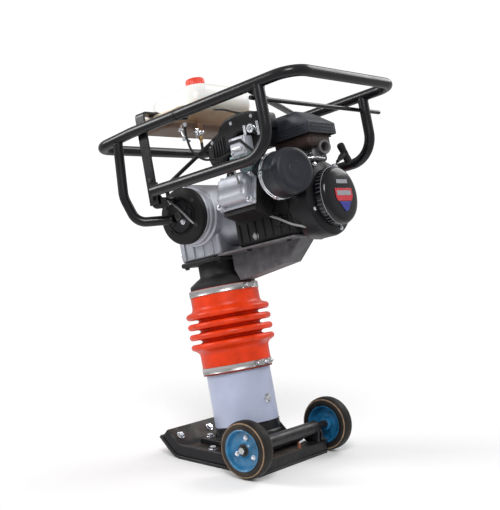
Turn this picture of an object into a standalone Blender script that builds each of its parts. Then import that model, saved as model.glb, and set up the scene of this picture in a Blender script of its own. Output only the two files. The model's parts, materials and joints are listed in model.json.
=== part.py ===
"""Vibratory tamping rammer (jumping jack): a plated shoe on a sprung leg, driven by a small
four-stroke engine inside a tubular handle frame.

World frame: X forward towards the toe, Y to the machine's left, Z up, origin on the sole's flat
face below the leg.  Everything above the shoe is square to the leg, which leans forward, so those
parts hang from an empty whose local axes are u (forward), y (left) and s (up along the leg).
Run with: blender --background --python part.py
"""
import math

import bmesh
import bpy
from mathutils import Euler, Matrix, Vector

# Driving dimensions, metres and radians
LEAN = math.radians(13.2)
GAP = 0.0003

SHOE_HALF_WIDTH = 0.150
SHOE_HEEL_X = -0.139
SHOE_BEND_X = 0.128
SHOE_TIP_X = 0.207
TOE_ANGLE = math.radians(40)
TOE_BEND_RADIUS = 0.060
SOLE_THICKNESS = 0.009
BOARD_TOP = 0.036

WHEEL_RADIUS = 0.073
WHEEL_TRACK_HALF = 0.1773
TYRE_WIDTH = 0.042
RIM_RADIUS = 0.0505
AXLE_RADIUS = 0.010
AXLE_X = -0.1202
AXLE_Z = 0.0745

SLEEVE_RADIUS = 0.0869
SLEEVE_BORE = 0.0785
SLEEVE_BASE = 0.0883
SLEEVE_TOP = 0.268
SPRING_TUBE_RADIUS = 0.056
SPRING_TUBE_BORE = 0.050
SPRING_TUBE_TOP = 0.304
PISTON_LOW = 0.185
PISTON_HIGH = 0.203
PISTON_RADIUS = 0.0485
ROD_RADIUS = 0.012

LOWER_CLAMP = 0.2449
UPPER_CLAMP = 0.4542
COLLAR_RADIUS = 0.0936
CLAMP_RADIUS = 0.0952
BELLOWS_PEAK = 0.1144
BELLOWS_VALLEY = 0.0822
FIRST_FOLD = 0.312
FOLD_PITCH = 0.0277
FOLDS = 4
RUBBER_WALL = 0.003

NECK_RADIUS = 0.058
NECK_BORE = 0.052
CASE_BASE = 0.5433
ENGINE_AXIS = 0.623
MODULE = 0.0021
GEAR_TEETH = 44
PINION_TEETH = 9
GEAR_AXIS = ENGINE_AXIS - MODULE * (GEAR_TEETH + PINION_TEETH) / 2
CRANK_THROW = 0.015
ROD_LENGTH = 0.100
GEAR_BACK = 0.014
GEAR_FRONT = 0.028

MOUNT_U = -0.015
MOUNT_S = 0.660
MOUNT_RADIUS = 0.075
DRUM_RADIUS = 0.083
DRUM_HALF = 0.112

TUBE_RADIUS = 0.014
RAIL_Y = 0.2275
REAR_U = -0.5120
REAR_S = 0.8982
BEND_U = 0.022
BEND_S = 0.8925
FRONT_U = 0.161
FRONT_S = 0.8835
UPRIGHT_U = -0.408
LOWER_RAIL_S = 0.727
ROD_S = 0.8650
ROD_REACH = 0.335
STAY_U = -0.205
FRONT_TUBE_U = 0.090
CAP_U = -0.030
STRAP_Y = 0.2095
STRAP_THICK = 0.006
STRAP_WIDTH = 0.026
STRAP_TOP = 0.941
STRAP_FOOT = 0.695
STRAP_END = 0.128

CYLINDER_TILT = math.radians(18)
FILTER_AT = (-0.347, 0.126, 0.690)
FILTER_TURN = (0, math.pi / 2, math.radians(-15))

# Euler turns that send a shape's local Z axis along u, along y, and an outline into a plane
Z_TO_U = (0, math.pi / 2, 0)
Z_TO_Y = (-math.pi / 2, 0, 0)
OUTLINE_US = (math.pi / 2, 0, 0)
OUTLINE_YS = (math.pi / 2, 0, math.pi / 2)

# Colour, roughness, metallic of each finish
FINISHES = {
    "black_steel": ((0.03, 0.03, 0.035), 0.35, 0.0),
    "shoe_steel": ((0.04, 0.04, 0.045), 0.5, 0.0),
    "leg_paint": ((0.42, 0.43, 0.52), 0.45, 0.2),
    "orange_rubber": ((0.85, 0.10, 0.02), 0.45, 0.0),
    "clamp_steel": ((0.7, 0.7, 0.72), 0.25, 1.0),
    "blue_rim": ((0.02, 0.25, 0.45), 0.35, 0.2),
    "tyre_rubber": ((0.03, 0.028, 0.026), 0.8, 0.0),
    "zinc": ((0.75, 0.75, 0.77), 0.25, 1.0),
    "machined_steel": ((0.5, 0.5, 0.5), 0.3, 1.0),
    "cast_aluminium": ((0.55, 0.56, 0.58), 0.5, 0.8),
    "dark_casting": ((0.06, 0.06, 0.065), 0.6, 0.3),
    "engine_plastic": ((0.03, 0.03, 0.035), 0.5, 0.0),
    "muffler_steel": ((0.12, 0.08, 0.08), 0.6, 0.5),
    "tank_white": ((0.85, 0.85, 0.8), 0.4, 0.0),
    "cap_red": ((0.8, 0.06, 0.03), 0.4, 0.0),
    "black_rubber": ((0.02, 0.02, 0.02), 0.75, 0.0),
    "spring_steel": ((0.3, 0.3, 0.32), 0.35, 1.0),
}


def start_scene():
    """Empty the scene, then make the part's collection, the cutters' one and the two empties."""
    for obj in list(bpy.data.objects):
        bpy.data.objects.remove(obj, do_unlink=True)
    groups = []
    for name in ("tamping_rammer", "cutters"):
        group = bpy.data.collections.new(name)
        bpy.context.scene.collection.children.link(group)
        groups.append(group)
    return groups


PARTS, CUTTERS = start_scene()


def finish(slot):
    """The Principled material of a finish, made once."""
    found = bpy.data.materials.get(slot)
    if found:
        return found
    colour, roughness, metallic = FINISHES[slot]
    made = bpy.data.materials.new(slot)
    made.use_nodes = True
    shader = made.node_tree.nodes["Principled BSDF"]
    shader.inputs["Base Color"].default_value = (*colour, 1)
    shader.inputs["Roughness"].default_value = roughness
    shader.inputs["Metallic"].default_value = metallic
    return made


def place(name, data, slot, parent, at=(0, 0, 0), turn=(0, 0, 0)):
    """Add an object: a part when it has a finish, otherwise a cutter."""
    obj = bpy.data.objects.new(name, data)
    if slot:
        PARTS.objects.link(obj)
        data.materials.append(finish(slot))
    else:
        CUTTERS.objects.link(obj)
        obj.hide_render = True
        obj.display_type = "WIRE"
    obj.parent = parent
    obj.location = at
    obj.rotation_euler = turn
    return obj


def empty(name, parent=None, at=(0, 0, 0), turn=(0, 0, 0)):
    obj = bpy.data.objects.new(name, None)
    PARTS.objects.link(obj)
    obj.parent = parent
    obj.location = at
    obj.rotation_euler = turn
    return obj


def smooth(mesh):
    mesh.shade_smooth()
    mesh.set_sharp_from_angle(angle=math.radians(35))


def solids(name, slot, shapes, parent=None, at=(0, 0, 0), turn=(0, 0, 0)):
    """One object of boxes ("box", size, at, turn) and rods ("rod", (radius, length, sides), at, turn)."""
    bm = bmesh.new()
    for kind, size, spot, spin in shapes:
        matrix = Matrix.Translation(spot) @ Euler(spin).to_matrix().to_4x4()
        if kind == "box":
            bmesh.ops.create_cube(bm, size=1, matrix=matrix @ Matrix.Diagonal((*size, 1)))
        else:
            radius, length, sides = size
            bmesh.ops.create_cone(bm, cap_ends=True, segments=sides, radius1=radius, radius2=radius,
                                  depth=length, matrix=matrix)
    mesh = bpy.data.meshes.new(name)
    bm.to_mesh(mesh)
    bm.free()
    smooth(mesh)
    return place(name, mesh, slot, parent, at, turn)


def box(name, slot, low, high, parent=None, bevel=0.0, segments=2):
    """A box between two corners, with rounded edges if asked."""
    size = Vector(high) - Vector(low)
    middle = (Vector(high) + Vector(low)) / 2
    obj = solids(name, slot, [("box", size, (0, 0, 0), (0, 0, 0))], parent, middle)
    if bevel:
        edge = obj.modifiers.new("Edges", "BEVEL")
        edge.width = bevel
        edge.segments = segments
        edge.limit_method = "ANGLE"
    return obj


def rod(name, slot, radius, length, parent=None, at=(0, 0, 0), turn=(0, 0, 0), sides=24):
    return solids(name, slot, [("rod", (radius, length, sides), (0, 0, 0), (0, 0, 0))], parent, at, turn)


def turned(name, slot, profile, parent=None, at=(0, 0, 0), turn=(0, 0, 0), sides=32):
    """A closed profile of (radius, height) points spun about local Z, its outer side listed downwards."""
    mesh = bpy.data.meshes.new(name)
    points = [(radius, 0, height) for radius, height in profile]
    edges = []
    for index in range(len(points)):
        following = (index + 1) % len(points)
        if points[index][0] or points[following][0]:
            edges.append((index, following))
    mesh.from_pydata(points, edges, [])
    obj = place(name, mesh, slot, parent, at, turn)
    screw = obj.modifiers.new("Turn", "SCREW")
    screw.steps = sides
    screw.render_steps = sides
    screw.use_merge_vertices = True
    screw.merge_threshold = 0.0001
    screw.use_smooth_shade = True
    return obj


def as_mesh(obj, slot):
    """Replace a curve by the closed mesh that it evaluates to."""
    bpy.context.view_layer.update()
    graph = bpy.context.evaluated_depsgraph_get()
    mesh = bpy.data.meshes.new_from_object(obj.evaluated_get(graph))
    bm = bmesh.new()
    bm.from_mesh(mesh)
    bmesh.ops.remove_doubles(bm, verts=bm.verts, dist=0.00002)
    bmesh.ops.recalc_face_normals(bm, faces=bm.faces)
    bm.to_mesh(mesh)
    bm.free()
    mesh.materials.clear()
    name, parent, at, turn = obj.name, obj.parent, obj.location.copy(), obj.rotation_euler.copy()
    bpy.data.objects.remove(obj, do_unlink=True)
    smooth(mesh)
    mesh.name = name
    return place(name, mesh, slot, parent, at, turn)


def rounded_path(corners, radii, closed=False, steps=4):
    """Points of a polyline whose corners are rounded to the given radii."""
    corners = [Vector(corner) for corner in corners]
    count = len(corners)
    inner = range(count) if closed else range(1, count - 1)
    points = [] if closed else [corners[0]]
    for index, radius in zip(inner, radii):
        corner = corners[index]
        back = (corners[index - 1] - corner).normalized()
        ahead = (corners[(index + 1) % count] - corner).normalized()
        half = back.angle(ahead) / 2
        centre = corner + (back + ahead).normalized() * radius / math.sin(half)
        reach = radius / math.tan(half)
        first = (corner + back * reach - centre).normalized()
        last = (corner + ahead * reach - centre).normalized()
        points += [centre + radius * first.slerp(last, step / steps) for step in range(steps + 1)]
    if not closed:
        points.append(corners[-1])
    return points


def tube(name, slot, points, radius, parent=None, closed=False, resolution=2):
    """A round tube along a polyline, as a closed mesh."""
    curve = bpy.data.curves.new(name, "CURVE")
    curve.dimensions = "3D"
    curve.bevel_depth = radius
    curve.bevel_resolution = resolution
    curve.render_resolution_u = 0
    curve.use_fill_caps = True
    spline = curve.splines.new("POLY")
    spline.points.add(len(points) - 1)
    for point, place_at in zip(spline.points, points):
        point.co = (*place_at, 1)
    spline.use_cyclic_u = closed
    obj = place(name, curve, None, parent)
    return as_mesh(obj, slot)


def plate(name, slot, outline, thickness, parent=None, at=(0, 0, 0), turn=(0, 0, 0)):
    """A flat sheet with the given edge, half its thickness to each side."""
    bm = bmesh.new()
    low = [bm.verts.new((x, y, -thickness / 2)) for x, y in outline]
    high = [bm.verts.new((x, y, thickness / 2)) for x, y in outline]
    bm.faces.new(low)
    bm.faces.new(high)
    for index in range(len(outline)):
        bm.faces.new((low[index - 1], low[index], high[index], high[index - 1]))
    bmesh.ops.recalc_face_normals(bm, faces=bm.faces)
    mesh = bpy.data.meshes.new(name)
    bm.to_mesh(mesh)
    bm.free()
    smooth(mesh)
    return place(name, mesh, slot, parent, at, turn)


def circle(radius, centre=(0, 0), sides=24):
    steps = [2 * math.pi * step / sides for step in range(sides)]
    return [(centre[0] + radius * math.cos(a), centre[1] + radius * math.sin(a)) for a in steps]


def arc(centre, radii, start, end, steps):
    """Points of an arc between two angles in degrees; radii differ along the two axes for an oval."""
    angles = [math.radians(start + (end - start) * step / steps) for step in range(steps + 1)]
    return [(centre[0] + radii[0] * math.cos(a), centre[1] + radii[1] * math.sin(a)) for a in angles]


def combine(obj, tool, operation="DIFFERENCE"):
    modifier = obj.modifiers.new(operation.title(), "BOOLEAN")
    modifier.operation = operation
    modifier.object = tool
    return obj


def cut(obj, *tools):
    for tool in tools:
        combine(obj, tool)
    return obj


def join(obj, *tools):
    for tool in tools:
        combine(obj, tool, "UNION")
    return obj


# ---------------------------------------------------------------- shoe, leg and wheels

def sole_line(offset, tip_x):
    """Points of the sole's side view, offset upwards from its underside, from heel to toe."""
    centre = Vector((SHOE_BEND_X, TOE_BEND_RADIUS))
    points = [(SHOE_HEEL_X, offset)]
    for step in range(6):
        angle = TOE_ANGLE * step / 5
        spoke = Vector((math.sin(angle), -math.cos(angle))) * (TOE_BEND_RADIUS - offset)
        points.append(tuple(centre + spoke))
    slope = Vector((math.cos(TOE_ANGLE), math.sin(TOE_ANGLE)))
    last = Vector(points[-1])
    points.append(tuple(last + slope * (tip_x - last.x) / slope.x))
    return points


def shoe_layer(name, slot, low, high, half_width, tip_x):
    """One layer of the shoe between two offsets from the sole's underside."""
    rise = (high - low) * math.sin(TOE_ANGLE)
    outline = sole_line(low, tip_x) + sole_line(high, tip_x - rise)[::-1]
    return plate(name, slot, outline, 2 * half_width, None, (0, 0, 0), OUTLINE_US)


def build_shoe(lean):
    shoe_layer("sole_plate", "shoe_steel", 0, SOLE_THICKNESS, SHOE_HALF_WIDTH, SHOE_TIP_X)
    board_tip = SHOE_TIP_X - 0.010
    shoe_layer("shoe_board", "shoe_steel", SOLE_THICKNESS + GAP, BOARD_TOP, SHOE_HALF_WIDTH - 0.003, board_tip)
    flange = box("foot_flange", "shoe_steel", (-0.098, -0.090, BOARD_TOP + GAP), (0.112, 0.090, 0.050))
    post = rod("flange_post", None, SLEEVE_RADIUS, 0.060, lean, (0, 0, SLEEVE_BASE - GAP - 0.030), sides=32)
    under = box("flange_under", None, (-0.2, -0.2, 0), (0.2, 0.2, BOARD_TOP + GAP))
    cut(join(flange, post), under)
    for end, x, reach in (("rear", -0.066, 0.105), ("front", 0.038, 0.122)):
        for side, y in (("left", reach), ("right", -reach)):
            rod(f"foot_bolt_{end}_{side}", "zinc", 0.013, 0.010, None, (x, y, BOARD_TOP + GAP + 0.005), sides=12)


def build_leg(lean):
    turned("leg_sleeve", "leg_paint",
           [(SLEEVE_RADIUS, SLEEVE_TOP), (SLEEVE_RADIUS, SLEEVE_BASE),
            (SLEEVE_BORE, SLEEVE_BASE), (SLEEVE_BORE, SLEEVE_TOP)], lean)
    lid = SPRING_TUBE_TOP - 0.008
    turned("spring_cylinder", "machined_steel",
           [(SPRING_TUBE_RADIUS, SPRING_TUBE_TOP), (SPRING_TUBE_RADIUS, SLEEVE_BASE),
            (SPRING_TUBE_BORE, SLEEVE_BASE), (SPRING_TUBE_BORE, lid),
            (ROD_RADIUS + 0.0006, lid), (ROD_RADIUS + 0.0006, SPRING_TUBE_TOP)], lean)
    angle = math.radians(177)
    spot = Vector((math.cos(angle), math.sin(angle), 0)) * (SLEEVE_RADIUS + GAP + 0.004)
    spot.z = 0.150
    solids("oil_sight_plug", "zinc", [("rod", (0.011, 0.007, 12), (0, 0, 0), (0, math.pi / 2, 0))],
           lean, spot, (0, 0, angle))
    band_clamp("lower_clamp", LOWER_CLAMP, COLLAR_RADIUS, lean)


def band_clamp(name, height, radius, parent):
    """A worm-drive band around a bellows collar, with its screw housing at the rear."""
    inner = radius + GAP
    outer = inner + 0.0013
    half = 0.0075
    band = turned(name, "clamp_steel", [(outer, half), (outer, -half), (inner, -half), (inner, half)],
                  parent, (0, 0, height), sides=24)
    angle = math.radians(174)
    spot = Vector((math.cos(angle), math.sin(angle), 0)) * (outer + 0.004)
    spot.z = height
    housing = solids(name + "_screw", None, [("box", (0.010, 0.028, 0.011), (0, 0, 0), (0, 0, 0))],
                     parent, spot, (0, 0, angle))
    return join(band, housing)


def spring(name, low, high, parent):
    """A coil of round wire between two heights, its ends one wire radius inside them."""
    wire, mean, turns, steps = 0.0045, 0.034, 5, 8
    points = []
    for step in range(turns * steps + 1):
        angle = 2 * math.pi * step / steps
        height = low + wire + (high - low - 2 * wire) * step / (turns * steps)
        points.append((mean * math.cos(angle), mean * math.sin(angle), height))
    tube(name, "spring_steel", points, wire, parent, resolution=1)


def build_bellows(lean):
    """Two straight collars joined by round folds, one even wall thick."""
    low = LOWER_CLAMP - 0.0125
    high = UPPER_CLAMP + 0.0125
    outer = [(COLLAR_RADIUS, high), (COLLAR_RADIUS, UPPER_CLAMP - 0.030)]
    for fold in reversed(range(FOLDS)):
        peak = FIRST_FOLD + fold * FOLD_PITCH
        lip = FOLD_PITCH * 0.20
        outer += [(BELLOWS_PEAK - 0.006, peak + lip), (BELLOWS_PEAK, peak), (BELLOWS_PEAK - 0.006, peak - lip)]
        if fold:
            outer.append((BELLOWS_VALLEY, peak - FOLD_PITCH / 2))
    outer += [(COLLAR_RADIUS, FIRST_FOLD - 0.020), (COLLAR_RADIUS, low)]
    inner = [(radius - RUBBER_WALL, height) for radius, height in outer]
    seat = SLEEVE_RADIUS + 0.001
    lower_seat = [(seat, low), (seat, SLEEVE_TOP + 0.002)]
    upper_seat = [(seat + 0.0028, UPPER_CLAMP - 0.012), (seat + 0.0028, high)]
    profile = outer + lower_seat + inner[1:-1][::-1] + upper_seat
    turned("bellows", "orange_rubber", profile, lean, sides=24)
    band_clamp("upper_clamp", UPPER_CLAMP, COLLAR_RADIUS, lean)


def build_piston(lean):
    """The piston and its rod, whose top fork stands clear below the connecting rod's eye."""
    fork_floor = GEAR_AXIS - CRANK_THROW - ROD_LENGTH - 0.015
    fork_base = fork_floor - 0.012
    profile = [(0, fork_base + 0.002), (ROD_RADIUS, fork_base + 0.002), (ROD_RADIUS, PISTON_HIGH),
               (PISTON_RADIUS, PISTON_HIGH), (PISTON_RADIUS, PISTON_LOW), (0, PISTON_LOW)]
    piston = turned("piston_rod", "machined_steel", profile, lean)
    head = box("fork_head", None, (-0.017, -0.014, fork_base), (0.017, 0.014, fork_floor + 0.018), lean)
    slot = box("fork_slot", None, (-0.010, -0.03, fork_floor), (0.010, 0.03, fork_floor + 0.03), lean)
    cut(join(piston, head), slot)


def build_wheels():
    for side, name in ((1, "left"), (-1, "right")):
        hub = empty(name + "_wheel", None, (AXLE_X, side * WHEEL_TRACK_HALF, AXLE_Z),
                    (-side * math.pi / 2, 0, 0))
        half = TYRE_WIDTH / 2
        turned(name + "_tyre", "tyre_rubber",
               [(WHEEL_RADIUS - 0.010, half), (WHEEL_RADIUS - 0.002, half * 0.55), (WHEEL_RADIUS, 0),
                (WHEEL_RADIUS - 0.002, -half * 0.55), (WHEEL_RADIUS - 0.010, -half),
                (RIM_RADIUS + GAP, -half), (RIM_RADIUS + GAP, half)], hub)
        bore = AXLE_RADIUS + 0.0003
        rim = turned(name + "_rim", "blue_rim",
                     [(RIM_RADIUS, half - 0.001), (RIM_RADIUS, -half + 0.001), (RIM_RADIUS - 0.004, -half + 0.001),
                      (RIM_RADIUS - 0.006, 0.001), (0.018, 0.001), (0.018, -0.014), (bore, -0.014),
                      (bore, 0.014), (0.016, 0.014), (0.018, 0.006), (RIM_RADIUS - 0.010, 0.005),
                      (RIM_RADIUS - 0.003, half - 0.001)], hub, sides=24)
        bolts = []
        for step in range(3):
            angle = 2 * math.pi * step / 3 + 0.5
            spot = (0.029 * math.cos(angle), 0.029 * math.sin(angle), 0.0085)
            bolts.append(("rod", (0.0055, 0.006, 6), spot, (0, 0, 0)))
        tool = solids(name + "_bolt_heads", None, bolts, hub)
        join(rim, tool)


def build_axle():
    """The axle through two heel lugs and a spacer tube, with a nut outside each wheel."""
    length = 2 * (WHEEL_TRACK_HALF + 0.018)
    rod("wheel_axle", "black_steel", AXLE_RADIUS, length, None, (AXLE_X, 0, AXLE_Z), Z_TO_Y, sides=20)
    base = BOARD_TOP + GAP
    outline = [(-0.136, base)] + arc((AXLE_X, AXLE_Z), (0.018, 0.018), 180, 0, 8) + [(-0.092, base)]
    left = plate("axle_brackets", "shoe_steel", outline, 0.010, None, (0, 0.112, 0), OUTLINE_US)
    right = plate("right_lug", None, outline, 0.010, None, (0, -0.112, 0), OUTLINE_US)
    spacer = rod("spacer_tube", None, 0.0175, 0.215, None, (AXLE_X, 0, AXLE_Z), Z_TO_Y)
    bore = rod("axle_bore", None, AXLE_RADIUS + GAP, 0.260, None, (AXLE_X, 0, AXLE_Z), Z_TO_Y, 20)
    cut(join(left, right, spacer), bore)
    for side, name in ((1, "left"), (-1, "right")):
        spot = (AXLE_X, side * (length / 2 + GAP + 0.003), AXLE_Z)
        rod(name + "_axle_nut", "black_steel", 0.0095, 0.006, None, spot, Z_TO_Y, 6)


# ---------------------------------------------------------------- percussion gear case

def gear_outline(teeth, module, phase):
    """A trapezoid for each tooth, the first one centred on the phase angle."""
    pitch = teeth * module / 2
    tip = pitch + 0.9 * module
    root = pitch - 1.15 * module
    step = 2 * math.pi / teeth
    points = []
    for tooth in range(teeth):
        middle = phase + tooth * step
        for radius, part in ((root, -0.30), (tip, -0.13), (tip, 0.13), (root, 0.30)):
            angle = middle + part * step
            points.append((radius * math.cos(angle), radius * math.sin(angle)))
    return points


def build_gears(lean):
    crank = empty("crank_axis", lean, (0, 0, GEAR_AXIS))
    outline = gear_outline(GEAR_TEETH, MODULE, math.pi / 2)
    middle = (GEAR_BACK + GEAR_FRONT) / 2
    gear = plate("crank_gear", "machined_steel", outline, GEAR_FRONT - GEAR_BACK, crank,
                 (middle, 0, 0), OUTLINE_YS)
    shaft = rod("gear_shaft", None, 0.014, 0.0485, crank, (GEAR_FRONT + 0.0223, 0, 0), Z_TO_U)
    pin = rod("crank_pin", None, 0.0085, 0.030, crank, (GEAR_BACK - 0.012, 0, -CRANK_THROW), Z_TO_U, 16)
    join(gear, shaft, pin)

    engine = empty("drum_axis", lean, (0, 0, ENGINE_AXIS))
    outline = gear_outline(PINION_TEETH, MODULE, -math.pi / 2 + math.pi / PINION_TEETH)
    pinion = plate("clutch_drum", "machined_steel", outline, 0.018, engine, (middle, 0, 0), OUTLINE_YS)
    stem = rod("drum_stem", None, 0.0065, 0.106, engine, (-0.027, 0, 0), Z_TO_U, 16)
    cup = turned("drum_cup", None,
                 [(0.046, -0.078), (0.046, -0.118), (0.041, -0.118), (0.041, -0.083), (0, -0.083), (0, -0.078)],
                 engine, (0, 0, 0), Z_TO_U, 28)
    nose = rod("drum_nose", None, 0.0065, 0.028, engine, (0.040, 0, 0), Z_TO_U, 16)
    join(pinion, stem, cup, nose)

    eye_low = GEAR_AXIS - CRANK_THROW - ROD_LENGTH
    big = circle(0.0165, (0, ROD_LENGTH), 20)
    beam = [(-0.009, 0), (0.009, 0), (0.0075, ROD_LENGTH), (-0.0075, ROD_LENGTH)]
    rod_body = plate("connecting_rod", "machined_steel", big, 0.017, lean, (0, 0, eye_low), OUTLINE_YS)
    small = plate("rod_small_end", None, circle(0.014, (0, 0), 20), 0.017, lean, (0, 0, eye_low), OUTLINE_YS)
    web = plate("rod_web", None, beam, 0.010, lean, (0, 0, eye_low), OUTLINE_YS)
    eyes = solids("rod_eyes", None,
                  [("rod", (0.0088, 0.03, 16), (0, 0, ROD_LENGTH), Z_TO_U),
                   ("rod", (0.007, 0.03, 16), (0, 0, 0), Z_TO_U)],
                  lean, (0, 0, eye_low))
    cut(join(rod_body, small, web), eyes)


def build_case(lean):
    """The guide cylinder with its neck and flange, the crankcase on it, and the front cover."""
    low = UPPER_CLAMP - 0.014
    high = UPPER_CLAMP + 0.0135
    guide = turned("guide_cylinder", "dark_casting",
                   [(NECK_RADIUS, CASE_BASE - GAP), (NECK_RADIUS, 0.495), (COLLAR_RADIUS - 0.004, 0.474),
                    (COLLAR_RADIUS - 0.004, low), (0.0675, low), (0.0675, 0.210), (0.0602, 0.210),
                    (0.0602, high), (NECK_BORE, high + 0.008), (NECK_BORE, CASE_BASE - GAP)], lean)
    flange = box("case_flange", None, (-0.074, -0.078, CASE_BASE - 0.0133), (0.070, 0.078, CASE_BASE - GAP),
                 lean, 0.006, 1)
    bore = rod("neck_bore", None, NECK_BORE + 0.0005, 0.060, lean, (0, 0, CASE_BASE), sides=32)
    cut(join(guide, flange), bore)

    case = box("crankcase", "cast_aluminium", (-0.075, -0.074, CASE_BASE), (0.070, 0.074, 0.645), lean, 0.010)
    drum = rod("mount_drum", None, DRUM_RADIUS, 2 * DRUM_HALF, lean, (MOUNT_U, 0, MOUNT_S), Z_TO_Y, 32)
    bell = rod("clutch_bell", None, 0.062, 0.080, lean, (-0.097, 0, ENGINE_AXIS), Z_TO_U, 24)
    gear_room = rod("gear_room", None, 0.0505, 0.100, lean, (0.022, 0, GEAR_AXIS), Z_TO_U, 28)
    rod_well = rod("rod_well", None, NECK_BORE, 0.050, lean, (0, 0, GEAR_AXIS - 0.020), sides=32)
    bell_room = rod("bell_room", None, 0.050, 0.090, lean, (-0.117, 0, ENGINE_AXIS), Z_TO_U, 24)
    shaft_room = rod("shaft_room", None, 0.0125, 0.160, lean, (0.0, 0, ENGINE_AXIS), Z_TO_U, 20)
    cut(join(case, drum, bell), gear_room, rod_well, bell_room, shaft_room)

    outline = arc((0, GEAR_AXIS), (0.058, 0.058), -22, 0, 2) + arc((0, 0.640), (0.036, 0.030), 0, 180, 10)
    outline += arc((0, GEAR_AXIS), (0.058, 0.058), 180, 202, 2)
    cover = plate("crankcase_cover", "cast_aluminium", outline, 0.010, lean, (0.0755, 0, 0), OUTLINE_YS)
    nose = rod("cover_nose", None, 0.034, 0.012, lean, (0.083, 0, GEAR_AXIS), Z_TO_U, 24)
    seat = rod("bearing_seat", None, 0.0143, 0.020, lean, (0.0656, 0, GEAR_AXIS), Z_TO_U, 24)
    cut(join(cover, nose), seat)
    for side, name in ((1, "left"), (-1, "right")):
        centre = (MOUNT_U, side * (DRUM_HALF + GAP + 0.011), MOUNT_S)
        rod(name + "_rubber_mount", "black_rubber", MOUNT_RADIUS, 0.022, lean, centre, Z_TO_Y, 32)


# ---------------------------------------------------------------- engine

def build_engine(lean):
    deck = box("engine_bracket", "dark_casting", (-0.330, -0.088, 0.5387), (-0.0757, 0.088, 0.5447), lean)
    side = [(-0.092, 0.468), (-0.250, 0.486), (-0.310, 0.541), (-0.078, 0.541), (-0.078, 0.500)]
    walls = []
    for y in (-0.030, 0.030):
        walls.append(plate("bracket_wall", None, side, 0.005, lean, (0, y, 0), OUTLINE_US))
    join(deck, *walls)

    block = box("engine_block", "cast_aluminium", (-0.330, -0.085, 0.5450), (-0.1380, 0.078, 0.700), lean, 0.012)
    shaft_bore = rod("shaft_bore", None, 0.0128, 0.24, lean, (-0.234, 0, ENGINE_AXIS), Z_TO_U, 20)
    cut(block, shaft_bore)

    tilt = empty("cylinder_axis", lean, (-0.230, 0, ENGINE_AXIS + 0.006), (CYLINDER_TILT, 0, 0))
    comb = [(0.081, -0.043)]
    fins = 6
    for fin in range(fins):
        y = 0.084 + fin * 0.0115
        comb += [(y, -0.043), (y, -0.056), (y + 0.004, -0.056), (y + 0.004, -0.043)]
    comb.append((0.152, -0.043))
    outline = comb + [(y, -z) for y, z in reversed(comb)]
    cylinder = plate("engine_cylinder", "dark_casting", outline, 0.104, tilt, (0, 0, 0), OUTLINE_YS)
    cut(cylinder, box("block_face", None, (-0.4, -0.2, 0.40), (0.1, 0.0785, 0.90), lean))
    box("rocker_cover", "cast_aluminium", (-0.058, 0.1523, -0.044), (0.058, 0.189, 0.044), tilt, 0.014, 3)

    axis = empty("engine_axis", lean, (0, 0, ENGINE_AXIS), Z_TO_U)
    shroud = turned("fan_shroud", "engine_plastic",
                    [(0.076, -0.3303), (0.092, -0.3303), (0.096, -0.3400), (0.096, -0.3850), (0.090, -0.3960),
                     (0.066, -0.4000), (0.066, -0.3960), (0.086, -0.3900), (0.0915, -0.3820),
                     (0.0915, -0.3410), (0.088, -0.3343), (0.076, -0.3343)], axis, sides=32)
    filter_side = empty("filter_side", lean, FILTER_AT, FILTER_TURN)
    cut(shroud, rod("filter_relief", None, 0.0618, 0.140, filter_side, (0, 0, -0.030), sides=32))
    turned("recoil_cover", "engine_plastic",
           [(0.0735, -0.4003), (0.0735, -0.4220), (0.0690, -0.4330), (0.0500, -0.4370), (0, -0.4380),
            (0, -0.4340), (0.0490, -0.4330), (0.0660, -0.4300), (0.0695, -0.4210), (0.0695, -0.4003)],
           axis)

    shaft = rod("engine_crankshaft", "machined_steel", 0.0120, 0.285, lean, (-0.2455, 0, ENGINE_AXIS), Z_TO_U)
    clutch = rod("clutch_hub", None, 0.0385, 0.020, lean, (-0.102, 0, ENGINE_AXIS), Z_TO_U, 28)
    split = box("clutch_split", None, (-0.125, -0.0015, ENGINE_AXIS + 0.013),
                (-0.088, 0.0015, ENGINE_AXIS + 0.05), lean)
    split_low = box("clutch_split_low", None, (-0.125, -0.0015, ENGINE_AXIS - 0.05),
                    (-0.088, 0.0015, ENGINE_AXIS - 0.013), lean)
    cut(join(shaft, clutch), split, split_low)
    blades = [("rod", (0.050, 0.010, 24), (0, 0, 0), (0, 0, 0))]
    fan = solids("flywheel_fan", "cast_aluminium", blades, lean, (-0.360, 0, ENGINE_AXIS), Z_TO_U)
    for step in range(8):
        angle = 2 * math.pi * step / 8
        spot = (0.062 * math.cos(angle), 0.062 * math.sin(angle), -0.002)
        blade = solids("fan_blade", None, [("box", (0.036, 0.004, 0.020), (0, 0, 0), (0, 0, 0))],
                       fan, spot, (0, 0, angle))
        join(fan, blade)
    cut(fan, rod("fan_bore", None, 0.0123, 0.05, lean, (-0.360, 0, ENGINE_AXIS), Z_TO_U))


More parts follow.
